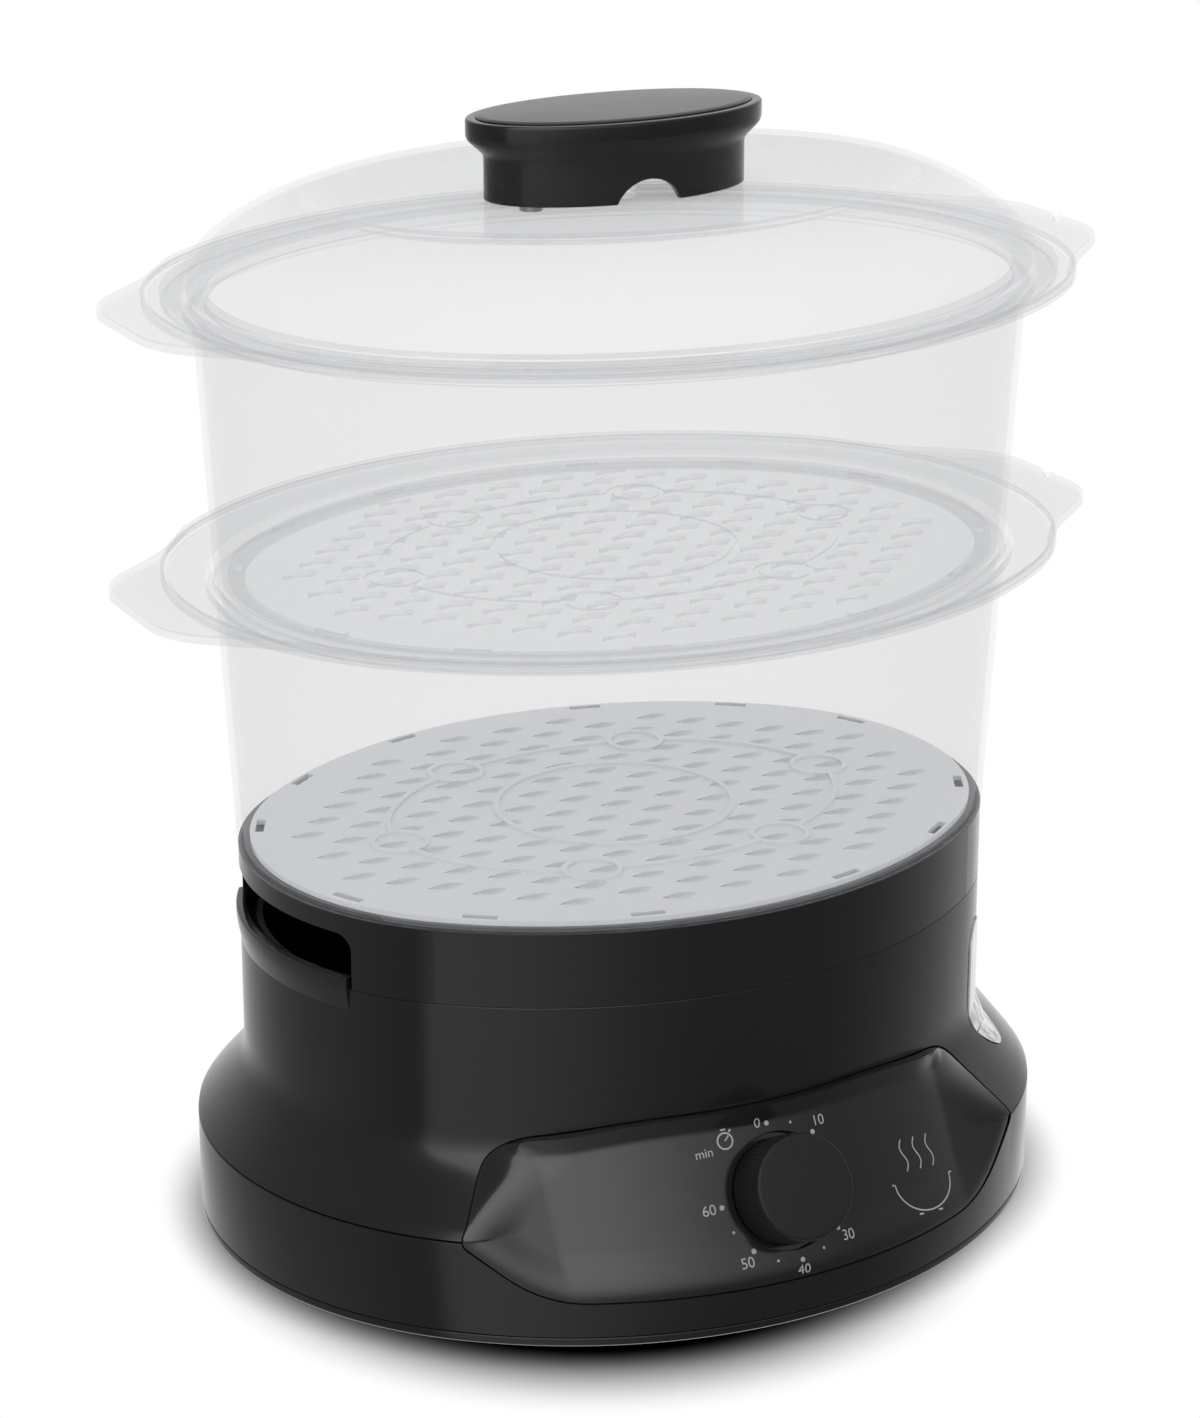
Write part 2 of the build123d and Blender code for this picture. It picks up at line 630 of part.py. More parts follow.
def timer_knob():
    """Round knob pushed on the shaft, with a pointer slot near the edge of its face."""
    bottom = KNOB_GAP - DIAL_RECESS_DEPTH
    knob = post(0, 0, KNOB_RADIUS, bottom, KNOB_PROUD)
    knob = chamfer(knob.edges().group_by(Axis.Z)[-1], KNOB_EDGE)
    pointer = Pos(0, KNOB_RADIUS - POINTER_LENGTH, KNOB_PROUD)
    knob -= pointer * Box(POINTER_WIDTH, POINTER_LENGTH, POINTER_WIDTH)
    return on_panel(0) * (Rot(0, 0, KNOB_REST_DEG) * knob) - timer_shaft()


# ---------------------------------------------------------------- tank and heater
def heater_screw_places():
    radius = (HEATER_HOLE_RADIUS + HEATER_RADIUS) / 2
    angles = [math.radians(30 + 120 * i) for i in range(3)]
    return [(radius * math.cos(a), radius * math.sin(a)) for a in angles]


def tank_form(out, floor_z, top_z):
    """Tank shape with a sloped bottom edge, bounded by one offset of the reference oval."""
    foot = oval_face(WALL_OVAL, out - TANK_CHAMFER, floor_z)
    shoulder = oval_face(WALL_OVAL, out, TANK_WALL_Z)
    return loft([foot, shoulder], ruled=True) + wall_disc(out, TANK_WALL_Z, top_z)


def water_tank():
    top = BASE_TOP_Z - PART_CLEARANCE
    floor = TANK_FLOOR_Z + TANK_FLOOR_THICK
    outer = tank_form(TANK_WALL_OUT, TANK_FLOOR_Z, top)
    outer -= panel_room(PANEL_THICK + PART_CLEARANCE, PART_CLEARANCE)
    inner = tank_form(TANK_WALL_OUT - TANK_THICK, floor, top)
    inner -= panel_room(PANEL_THICK + PART_CLEARANCE + TANK_THICK, PART_CLEARANCE + TANK_THICK)
    tank = outer - inner
    lip = TANK_GAP - PART_CLEARANCE
    tank += oval_ring(TANK_WALL_OUT + lip, lip, TANK_LEDGE_Z, TANK_LEDGE_Z + TANK_LIP_THICK)
    tank -= post(0, 0, HEATER_HOLE_RADIUS, TANK_FLOOR_Z, floor)
    for x, y in heater_screw_places():
        tank -= post(x, y, SCREW_RADIUS + SCREW_CLEARANCE, TANK_FLOOR_Z, floor)
    port = window_prism(-2 * WINDOW_FRAME, -WINDOW_WIDTH, WINDOW_WIDTH)
    return tank - (port & wall_disc(0, TANK_WALL_Z + WINDOW_FRAME, TANK_LEDGE_Z))


def heater_seal():
    bottom = TANK_FLOOR_Z + TANK_FLOOR_THICK
    seal = tube(0, 0, HEATER_RADIUS, HEATER_HOLE_RADIUS, bottom, HEATER_Z)
    for x, y in heater_screw_places():
        seal -= post(x, y, SCREW_RADIUS + SCREW_CLEARANCE, bottom, HEATER_Z)
    return seal


def heating_element():
    """Tubular element bent to a horseshoe, let half its radius into the plate, with two cold ends."""
    gap = ELEMENT_GAP_DEG / 2
    z = HEATER_Z - ELEMENT_TUBE_RADIUS / 2
    start = math.radians(90 + gap)
    plane = Plane(
        origin=(ELEMENT_RADIUS * math.cos(start), ELEMENT_RADIUS * math.sin(start), z),
        x_dir=(math.cos(start), math.sin(start), 0),
        z_dir=(math.sin(start), -math.cos(start), 0),
    )
    element = revolve(plane * Circle(ELEMENT_TUBE_RADIUS), Axis.Z, 360 - ELEMENT_GAP_DEG)
    for side in (-1, 1):
        angle = math.radians(90 + side * (gap + 6))
        x = ELEMENT_RADIUS * math.cos(angle)
        y = ELEMENT_RADIUS * math.sin(angle)
        element += post(x, y, ELEMENT_TUBE_RADIUS / 2, z - ELEMENT_END_DROP, z)
    return element


def heating_plate():
    plate = post(0, 0, HEATER_RADIUS, HEATER_Z, HEATER_Z + HEATER_THICK)
    plate = chamfer(plate.edges().group_by(Axis.Z)[-1], HEATER_THICK / 4)
    for x, y in heater_screw_places():
        plate -= post(x, y, SCREW_RADIUS + PILOT_CLEARANCE, HEATER_Z, HEATER_Z + HEATER_SCREW_BITE)
    return plate - heating_element()


def heater_screws():
    length = TANK_FLOOR_THICK + HEATER_SEAL_THICK + HEATER_SCREW_BITE - PART_CLEARANCE
    return [Pos(x, y, TANK_FLOOR_Z) * screw(length) for x, y in heater_screw_places()]


def thermostat():
    body = post(0, 0, THERMOSTAT_RADIUS, HEATER_Z - THERMOSTAT_HEIGHT, HEATER_Z)
    for x in (-THERMOSTAT_RADIUS / 2, THERMOSTAT_RADIUS / 2):
        body += Pos(x, 0, HEATER_Z - THERMOSTAT_HEIGHT) * Box(0.8, 6, 6)
    return body


def thermal_fuse():
    x = (THERMOSTAT_RADIUS + ELEMENT_RADIUS - ELEMENT_TUBE_RADIUS) / 2
    body = Rot(90, 0, 0) * Cylinder(FUSE_RADIUS, FUSE_LENGTH)
    saddle = Box(2 * FUSE_RADIUS, FUSE_LENGTH / 3, 2 * FUSE_RADIUS)
    return Pos(-x, 0, HEATER_Z - FUSE_RADIUS) * (body + saddle)


def turbo_ring():
    """Open cone that stands round the heater and boils a little water at a time."""
    z = TANK_FLOOR_Z + TANK_FLOOR_THICK
    section = make_face(
        Polyline(
            (RING_FOOT_RADIUS, 0),
            (RING_TOP_RADIUS, RING_HEIGHT),
            (RING_TOP_RADIUS - RING_THICK, RING_HEIGHT),
            (RING_FOOT_RADIUS - RING_THICK, 0),
            close=True,
        )
    )
    ring = revolve(Plane.XZ * section, Axis.Z)
    for quarter in (0, 90):
        ring -= Rot(0, 0, quarter) * Box(3 * RING_FOOT_RADIUS, RING_PORT_WIDTH, 2 * RING_PORT_HEIGHT)
    return Pos(0, 0, z) * ring


def terminal_block():
    block = Pos(0, TERMINAL_Y, SKIRT_Z + TERMINAL_HEIGHT / 2)
    body = Box(TERMINAL_LENGTH, TERMINAL_WIDTH, TERMINAL_HEIGHT)
    for x in (-1, 0, 1):
        clamp = Pos(x * TERMINAL_LENGTH / 3, 0, TERMINAL_HEIGHT / 2)
        body -= clamp * Cylinder(TERMINAL_WIDTH / 5, TERMINAL_HEIGHT)
    return block * body


def internal_leads():
    """Three insulated leads: supply to heater, supply to timer and timer to heater."""
    lead_z = SKIRT_Z + TERMINAL_HEIGHT / 2
    supply_y = TERMINAL_Y - TERMINAL_WIDTH / 2
    timer_back = PANEL_THICK + TIMER_STANDOFF + TIMER_FLANGE_THICK + TIMER_DEPTH
    slope = math.radians(PANEL_SLOPE_DEG)
    run = (PANEL_ANCHOR_Z - lead_z) / math.sin(slope)
    back_y = PANEL_ANCHOR_Y + timer_back * math.cos(slope)
    back_z = PANEL_ANCHOR_Z - timer_back * math.sin(slope)
    low_y = PANEL_ANCHOR_Y + run * math.cos(slope)
    end_angle = math.radians(90 - ELEMENT_GAP_DEG / 2 - 6)
    end_x = ELEMENT_RADIUS * math.cos(end_angle)
    end_y = ELEMENT_RADIUS * math.sin(end_angle)
    end_z = HEATER_Z - ELEMENT_TUBE_RADIUS / 2 - ELEMENT_END_DROP
    x = BELL_RADIUS + LEAD_RADIUS + PART_CLEARANCE
    routes = [
        [(-end_x, supply_y, lead_z), (-end_x, end_y, lead_z), (-end_x, end_y, end_z)],
        [(x, supply_y, lead_z), (x, low_y, lead_z), (x, back_y, back_z)],
        [(-x, back_y, back_z), (-x, low_y, lead_z), (end_x, end_y, lead_z), (end_x, end_y, end_z)],
    ]
    leads = []
    for route in routes:
        path = FilletPolyline(*route, radius=LEAD_BEND)
        leads.append(sweep(Plane(origin=path @ 0, z_dir=path % 0) * Circle(LEAD_RADIUS), path=path))
    return leads


# ---------------------------------------------------------------- drip tray
def inlet_end(x, bottom, top):
    """Block that takes in the whole -X end of the tray, up to x."""
    return Pos(x - WALL_HALF_X, 0, (bottom + top) / 2) * Box(2 * WALL_HALF_X, 2 * WALL_HALF_Y, top - bottom)


def tray_collar():
    """Collar that carries the baskets: a ledge for the drip tray, a spigot in the tank and a water inlet."""
    floor_z = BASE_TOP_Z + TRAY_FLOOR_RISE
    ledge_z = floor_z - TRAY_FLOOR_THICK
    dam_top = BASE_TOP_Z + INLET_TOP_RISE
    spigot_out = TANK_WALL_OUT - TANK_THICK - 2 * PART_CLEARANCE
    spigot_z = BASE_TOP_Z - TRAY_SPIGOT_DROP
    ledge_width = TRAY_SPIGOT_THICK - spigot_out - TRAY_THICK
    ledge = oval_ring(-TRAY_THICK, ledge_width, ledge_z, floor_z)
    ledge += oval_ring(spigot_out, TRAY_SPIGOT_THICK, spigot_z, ledge_z)
    ledge -= inlet_end(INLET_DAM_X, spigot_z, floor_z)
    dam = inlet_end(INLET_DAM_X + TRAY_FLOOR_THICK, ledge_z, dam_top) - inlet_end(INLET_DAM_X, ledge_z, dam_top)
    collar = oval_ring(0, TRAY_THICK, BASE_TOP_Z, TRAY_TOP_Z) + ledge
    collar += dam & wall_disc(-TRAY_THICK, ledge_z, dam_top)
    collar -= inlet_block(BASE_TOP_Z, dam_top)
    mouth = Pos(INLET_DAM_X - WALL_HALF_X / 2, 0, BASE_TOP_Z)
    return collar - mouth * Box(WALL_HALF_X, 2 * INLET_HALF_WIDTH, 2 * INLET_BOTTOM_RISE + 2 * INLET_CORNER)


def drip_tray():
    """Pan that catches the cooking juices, with a raised and slotted steam outlet in its middle."""
    floor_z = BASE_TOP_Z + TRAY_FLOOR_RISE
    floor_top = floor_z + TRAY_FLOOR_THICK
    rim_top = floor_top + TRAY_RIM_HEIGHT
    dome_top = floor_top + STEAM_DOME_RISE
    out = -TRAY_THICK - PART_CLEARANCE
    end_x = INLET_DAM_X + TRAY_FLOOR_THICK + PART_CLEARANCE
    pan = wall_disc(out, floor_z, rim_top) - inlet_end(end_x, floor_z, rim_top)
    room = wall_disc(out - TRAY_RIM_THICK, floor_top, rim_top)
    pan -= room - inlet_end(end_x + TRAY_RIM_THICK, floor_top, rim_top)
    inner = STEAM_DOME_RADIUS - TRAY_FLOOR_THICK
    pan += post(0, 0, STEAM_DOME_RADIUS, floor_z, dome_top)
    pan -= post(0, 0, inner, floor_z, dome_top - TRAY_FLOOR_THICK)
    slot = Pos(inner - STEAM_SLOT_LENGTH, 0, dome_top) * Box(STEAM_SLOT_LENGTH, STEAM_SLOT_WIDTH, STEAM_DOME_RISE)
    for i in range(STEAM_SLOT_COUNT):
        pan -= Rot(0, 0, 360 * i / STEAM_SLOT_COUNT) * slot
    return pan


# ---------------------------------------------------------------- baskets and their grids
def basket_wall(base_out, base_z):
    """Tapered clear wall of a basket, with a ledge for the grid and a locating lip under it."""
    thick = BASKET_THICK
    joint = BASKET_PITCH - thick
    top_out = base_out + BASKET_DRAFT * joint
    lip = base_out - thick - STACK_GAP - PART_CLEARANCE
    ledge = base_out - thick - BASKET_LEDGE_WIDTH
    section = outline(
        (base_out - thick / 3, 0),
        (base_out, thick / 3),
        (top_out, joint),
        (top_out - thick, joint),
        (base_out - thick, BASKET_LEDGE_THICK),
        (ledge, BASKET_LEDGE_THICK),
        (ledge, 0),
        (lip - BASKET_LIP_THICK, 0),
        (lip - BASKET_LIP_THICK, -BASKET_LIP_DROP),
        (lip, -BASKET_LIP_DROP),
        (lip, 0),
    )
    return Pos(0, 0, base_z) * oval_sweep(section)


def flange_section(base_out, flange_out):
    """Section of a basket's head: stepped seat for the next piece and flange with a turned-down edge."""
    thick = BASKET_THICK
    joint = BASKET_PITCH - thick
    joint_out = base_out + BASKET_DRAFT * joint
    rim = BASKET_PITCH + FLANGE_RISE
    floor = rim - SEAT_DEPTH
    step = joint_out + STACK_GAP
    return outline(
        (joint_out, joint),
        (step + thick, joint),
        (step + thick, floor - FLANGE_THICK),
        (flange_out - thick, floor - FLANGE_THICK),
        (flange_out - thick, rim - FLANGE_DROP),
        (flange_out, rim - FLANGE_DROP),
        (flange_out, rim),
        (flange_out - thick, rim),
        (flange_out - thick, floor),
        (step, floor),
        (step, BASKET_PITCH),
        (joint_out - thick, BASKET_PITCH),
        (joint_out - thick, joint),
    )


def basket_rim(base_out, base_z, flange_out):
    """Front and back of a basket's head, along the side arcs, with a bead on the flange's edge."""
    rim = BASKET_PITCH + FLANGE_RISE
    inside = flange_out - BASKET_THICK / 2
    bead = outline((inside, rim), (flange_out, rim), (flange_out, rim + EAR_BEAD), (inside, rim + EAR_BEAD))
    section = flange_section(base_out, flange_out) + bead
    _, back, _, front = WALL_OVAL
    return [Pos(0, 0, base_z) * arc_sweep(section, arc) for arc in (back, front)]


def ear_outline(flange_out):
    """Right end of the flange from above: a round end and an ear with broad tips swept back into it."""
    (centre, _), radius, _, _ = WALL_OVAL[0]
    edge = radius + flange_out
    root = math.radians(EAR_ROOT_DEG)
    root_x = centre + (edge - EAR_BEAD) * math.cos(root)
    root_y = (edge - EAR_BEAD) * math.sin(root)
    ear = make_face(
        Polyline(
            (centre, -root_y),
            (root_x, -root_y),
            (EAR_TIP_X, -EAR_TIP_HALF),
            (EAR_TIP_X, EAR_TIP_HALF),
            (root_x, root_y),
            (centre, root_y),
            close=True,
        )
    )
    tab = Pos(centre, 0) * Circle(edge) + ear
    tab = fillet(tab.vertices().filter_by(lambda v: root_x - 1 < v.X < EAR_TIP_X - 1), EAR_ROOT_RADIUS)
    return fillet(tab.vertices().filter_by(lambda v: v.X > EAR_TIP_X - 1), EAR_TIP_RADIUS)


def basket_ears(base_out, base_z, flange_out):
    """Left and right end of a basket's head, each with its lifting ear and a bead round the edge."""
    arc = WALL_OVAL[0]
    (centre, _), radius, _, sweep = arc
    rim = BASKET_PITCH + FLANGE_RISE
    reach = 2 * EAR_TIP_X
    across = reach * math.tan(math.radians(sweep / 2))
    wedge = make_face(Polyline((centre, 0), (centre + reach, across), (centre + reach, -across), close=True))
    tab = ear_outline(flange_out)
    inside = Pos(centre, 0) * Circle(radius + flange_out - BASKET_THICK / 2)
    plate = (tab & wedge) - inside
    bead = ((tab - offset(tab, -EAR_BEAD)) & wedge) - inside
    end = arc_sweep(flange_section(base_out, flange_out), arc)
    end += Pos(0, 0, rim - EAR_THICK) * extrude(plate, EAR_THICK, dir=(0, 0, 1))
    end += Pos(0, 0, rim) * extrude(bead, EAR_BEAD, dir=(0, 0, 1))
    return [Pos(0, 0, base_z) * end, Pos(0, 0, base_z) * Rot(0, 0, 180) * end]


def inside_grid(x, y, margin):
    """Whether a point lies inside the slotted field of a grid, margin in from the reference oval."""
    return (x / (WALL_HALF_X - margin)) ** 2 + (y / (WALL_HALF_Y - margin)) ** 2 < 1


def bead_ring(half_x, half_y):
    return Ellipse(half_x, half_y) - Ellipse(half_x - GRID_BEAD_WIDTH, half_y - GRID_BEAD_WIDTH)


def grid_beads():
    """Raised lines on a grid: a centre ring, an outer ring and six egg rings on it."""
    eggs = [(EGG_OVAL_X, 0), (-EGG_OVAL_X, 0)]
    cos_egg = math.cos(math.radians(EGG_ANGLE_DEG))
    sin_egg = math.sin(math.radians(EGG_ANGLE_DEG))
    eggs += four_corners(EGG_OVAL_X * cos_egg, EGG_OVAL_Y * sin_egg)
    line = bead_ring(EGG_OVAL_X + GRID_BEAD_WIDTH / 2, EGG_OVAL_Y + GRID_BEAD_WIDTH / 2)
    for x, y in eggs:
        line -= Pos(x, y) * Circle(EGG_RING_RADIUS - GRID_BEAD_WIDTH)
        line += Pos(x, y) * bead_ring(EGG_RING_RADIUS, EGG_RING_RADIUS)
    return line + bead_ring(GRID_RING_X, GRID_RING_Y)


def grid(base_out, base_z):
    """Removable basket floor with a field of pointed slots and catches round its edge."""
    out = base_out - BASKET_THICK - GRID_GAP
    bottom = base_z + BASKET_LEDGE_THICK
    top = bottom + GRID_THICK
    face = oval_face(WALL_OVAL, out, 0)
    columns = int(WALL_HALF_X / SLOT_PITCH_X)
    rows = int(WALL_HALF_Y / SLOT_PITCH_Y)
    slot = make_face(
        Polyline((-SLOT_LENGTH / 2, 0), (0, -SLOT_WIDTH / 2), (SLOT_LENGTH / 2, 0), (0, SLOT_WIDTH / 2), close=True)
    )
    slots = []
    for i in range(-columns, columns + 1):
        for j in range(-rows, rows + 1):
            x = i * SLOT_PITCH_X
            y = j * SLOT_PITCH_Y
            reach = abs(x) + SLOT_LENGTH / 2
            if (i + j) % 2 == 0 and inside_grid(reach, y, GRID_BORDER - out):
                slots.append(Pos(x, y) * slot)
    for angle in CATCH_ANGLES_DEG:
        for x, y in four_corners(math.cos(math.radians(angle)), math.sin(math.radians(angle))):
            place = Pos((WALL_HALF_X + out) * x, (WALL_HALF_Y + out) * y)
            turn = math.degrees(math.atan2(y / WALL_HALF_Y, x / WALL_HALF_X))
            slots.append(place * Rot(0, 0, turn) * Pos(-CATCH_WIDTH, 0) * Rectangle(CATCH_WIDTH, CATCH_LENGTH))
    plate = Pos(0, 0, bottom) * extrude(face - slots, GRID_THICK, dir=(0, 0, 1))
    beads = Pos(0, 0, top) * extrude(grid_beads(), GRID_BEAD_HEIGHT, dir=(0, 0, 1))
    return plate + beads


# ---------------------------------------------------------------- lid and handle
def dome_curve(thick):
    """Section of the dome from its spring to its crest, moved inwards by thick."""
    spring_x, spring_y = LID_SPRING_PULL
    crest_x, crest_y = LID_CREST_PULL
    return Bezier(
        (LID_SPRING_OUT - thick, LID_SPRING_Z),
        (LID_SPRING_OUT + spring_x - thick, LID_SPRING_Z + spring_y),
        (LID_CREST_OUT + crest_x, LID_CREST_Z - crest_y - thick),
        (LID_CREST_OUT, LID_CREST_Z - thick),
    )


def lid():
    """Domed lid with a flat rim, a locating spigot and a shallow well that carries the handle."""
    thick = LID_THICK
    seat = LID_SEAT_Z
    step = UPPER_BASKET_OUT + BASKET_DRAFT * BASKET_PITCH + STACK_GAP
    spigot = step - 2 * PART_CLEARANCE
    rim = Polyline(
        (LID_SPRING_OUT - thick, LID_SPRING_Z),
        (spigot - LID_SPIGOT_THICK, LID_SPRING_Z),
        (spigot - LID_SPIGOT_THICK, seat - LID_SPIGOT_DROP),
        (spigot, seat - LID_SPIGOT_DROP),
        (spigot, seat),
        (LID_RIM_OUT, seat),
        (LID_RIM_OUT, LID_SPRING_Z),
        (LID_SPRING_OUT, LID_SPRING_Z),
    )
    outer = dome_curve(0)
    well = Polyline(
        (LID_CREST_OUT, LID_CREST_Z),
        (LID_WELL_OUT, LID_WELL_Z),
        (LID_WELL_OUT - thick, LID_WELL_Z),
        (LID_WELL_OUT - thick, LID_WELL_Z - thick),
        (LID_WELL_OUT, LID_WELL_Z - thick),
        (LID_CREST_OUT, LID_CREST_Z - thick),
    )
    inner = dome_curve(thick)
    cover = oval_sweep(make_face([rim, outer, well, inner]))
    cover += wall_disc(LID_WELL_OUT - thick / 2, LID_WELL_Z - thick, LID_WELL_Z)
    cover -= post(0, 0, STEAM_HOLE_RADIUS, LID_WELL_Z - thick, LID_WELL_Z)
    for x in (-HANDLE_SCREW_X, HANDLE_SCREW_X):
        cover -= post(x, 0, SCREW_RADIUS + SCREW_CLEARANCE, LID_WELL_Z - thick, LID_WELL_Z)
    return cover


def oval_block(half_x, half_y, bottom, top):
    return Pos(0, 0, bottom) * extrude(Ellipse(half_x, half_y), top - bottom)


def lid_handle():
    """Hollow grip on a narrower stem, with steam notches at the foot of the stem."""
    stem_top = LID_WELL_Z + STEM_HEIGHT
    grip_z = stem_top + GRIP_FLARE
    handle = oval_block(STEM_HALF_X, STEM_HALF_Y, LID_WELL_Z, stem_top)
    flare = [
        Pos(0, 0, stem_top) * Ellipse(STEM_HALF_X, STEM_HALF_Y),
        Pos(0, 0, grip_z) * Ellipse(GRIP_HALF_X, GRIP_HALF_Y),
    ]
    handle += loft(flare, ruled=True)
    grip = oval_block(GRIP_HALF_X, GRIP_HALF_Y, grip_z, GRIP_TOP_Z)
    handle += chamfer(grip.edges().group_by(Axis.Z)[-1], GRIP_EDGE)
    seat = GRIP_TOP_Z + CAP_PROUD - CAP_THICK
    handle -= oval_block(GRIP_HALF_X - CAP_INSET, GRIP_HALF_Y - CAP_INSET, seat, GRIP_TOP_Z)
    room_x = STEM_HALF_X - HANDLE_THICK
    room_y = STEM_HALF_Y - HANDLE_THICK
    handle -= oval_block(room_x, room_y, LID_WELL_Z, seat - HANDLE_THICK)
    for x in (-HANDLE_SCREW_X, HANDLE_SCREW_X):
        handle += post(x, 0, BOSS_RADIUS, LID_WELL_Z, seat - HANDLE_THICK)
        handle -= post(x, 0, SCREW_RADIUS + PILOT_CLEARANCE, LID_WELL_Z, LID_WELL_Z + HANDLE_SCREW_LENGTH)
    notch = Pos(0, 0, LID_WELL_Z - NOTCH_SINK) * Rot(90, 0, 0) * Cylinder(NOTCH_RADIUS, 3 * STEM_HALF_Y)
    return handle - notch


def lid_handle_cap():
    bottom = GRIP_TOP_Z + CAP_PROUD - CAP_THICK
    inset = CAP_INSET + SEAT_CLEARANCE
    cap = oval_block(GRIP_HALF_X - inset, GRIP_HALF_Y - inset, bottom, bottom + CAP_THICK)
    return chamfer(cap.edges().group_by(Axis.Z)[-1], CAP_PROUD / 2)


def handle_screws():
    seat = LID_WELL_Z - LID_THICK
    return [Pos(x, 0, seat) * screw(HANDLE_SCREW_LENGTH) for x in (-HANDLE_SCREW_X, HANDLE_SCREW_X)]


# ---------------------------------------------------------------- nodes
NODES = {
    "bottom_plate": bottom_plate,
    "rubber_feet": rubber_feet,
    "bottom_screws": bottom_screws,
    "lower_skirt": lower_skirt,
    "housing_shoulder": housing_shoulder,
    "upper_housing": upper_housing,
    "level_window": level_window,
    "control_panel": control_panel,
    "cord_bush": cord_bush,
    "timer_body": timer_body,
    "timer_bell": timer_bell,
    "timer_shaft": timer_shaft,
    "timer_screws": timer_screws,
    "timer_knob": timer_knob,
    "water_tank": water_tank,
    "heater_seal": heater_seal,
    "heating_plate": heating_plate,
    "heating_element": heating_element,
    "heater_screws": heater_screws,
    "thermostat": thermostat,
    "thermal_fuse": thermal_fuse,
    "turbo_ring": turbo_ring,
    "terminal_block": terminal_block,
    "internal_leads": internal_leads,
    "tray_collar": tray_collar,
    "drip_tray": drip_tray,
    "lower_basket": lambda: basket_wall(LOWER_BASKET_OUT, TRAY_TOP_Z),
    "lower_basket_rim": lambda: basket_rim(LOWER_BASKET_OUT, TRAY_TOP_Z, LOWER_FLANGE_OUT),
    "lower_basket_ears": lambda: basket_ears(LOWER_BASKET_OUT, TRAY_TOP_Z, LOWER_FLANGE_OUT),
    "lower_grid": lambda: grid(LOWER_BASKET_OUT, TRAY_TOP_Z),
    "upper_basket": lambda: basket_wall(UPPER_BASKET_OUT, UPPER_BASKET_Z),
    "upper_basket_rim": lambda: basket_rim(UPPER_BASKET_OUT, UPPER_BASKET_Z, UPPER_FLANGE_OUT),
    "upper_basket_ears": lambda: basket_ears(UPPER_BASKET_OUT, UPPER_BASKET_Z, UPPER_FLANGE_OUT),
    "upper_grid": lambda: grid(UPPER_BASKET_OUT, UPPER_BASKET_Z),
    "lid": lid,
    "lid_handle": lid_handle,
    "lid_handle_cap": lid_handle_cap,
    "handle_screws": handle_screws,
}

os.makedirs("parts", exist_ok=True)
for name, make in NODES.items():
    shape = make()
    if isinstance(shape, list):
        shape = Compound(children=shape)
    shape.label = name
    export_step(shape, f"parts/{name}.step")
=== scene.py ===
import math

import bmesh
import bpy
import numpy as np
from mathutils import Matrix, Vector


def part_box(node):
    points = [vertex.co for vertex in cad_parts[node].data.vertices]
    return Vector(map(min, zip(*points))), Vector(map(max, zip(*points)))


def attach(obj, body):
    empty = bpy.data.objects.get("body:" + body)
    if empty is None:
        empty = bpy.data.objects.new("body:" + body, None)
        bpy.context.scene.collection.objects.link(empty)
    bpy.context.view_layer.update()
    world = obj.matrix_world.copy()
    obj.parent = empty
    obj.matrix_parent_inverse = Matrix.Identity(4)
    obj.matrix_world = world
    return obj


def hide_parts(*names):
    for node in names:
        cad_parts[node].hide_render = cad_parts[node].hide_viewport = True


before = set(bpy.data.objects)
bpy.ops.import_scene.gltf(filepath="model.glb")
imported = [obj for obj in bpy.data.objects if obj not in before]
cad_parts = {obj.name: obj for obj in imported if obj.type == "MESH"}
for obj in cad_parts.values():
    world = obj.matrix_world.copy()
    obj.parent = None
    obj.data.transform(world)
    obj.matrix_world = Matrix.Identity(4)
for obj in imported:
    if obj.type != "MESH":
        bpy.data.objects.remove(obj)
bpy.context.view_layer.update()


# ---------------------------------------------------------------- carried parts: screws, feet, plate
# Zinc-plated self-tapping screws, moulded rubber feet and the flat black bottom plate.
# They are mostly out of sight, so the CAD solids stay and only take their real finishes.
def fill(node, sockets):
    """Put plain values into a node's inputs, named with _ for each space."""
    for socket, value in sockets.items():
        node.inputs[socket.replace("_", " ")].default_value = value
    return node


def new_material(name, **sockets):
    """Principled material with plain values, and its node tree and shader."""
    material = bpy.data.materials.new(name)
    material.use_nodes = True
    tree = material.node_tree
    return material, tree, fill(tree.nodes["Principled BSDF"], sockets)


def add_node(tree, kind, **sockets):
    """New shader node of a kind, with plain values in its inputs."""
    return fill(tree.nodes.new("ShaderNode" + kind), sockets)


def finish_group(name, inputs, outputs):
    """Empty shader node group with named value inputs and named outputs."""
    group = bpy.data.node_groups.new(name, "ShaderNodeTree")
    for socket, value in inputs.items():
        made = group.interface.new_socket(socket, in_out="INPUT", socket_type="NodeSocketFloat")
        made.default_value = value
    for socket, kind in outputs.items():
        group.interface.new_socket(socket, in_out="OUTPUT", socket_type=kind)
    return group, group.nodes.new("NodeGroupInput"), group.nodes.new("NodeGroupOutput")


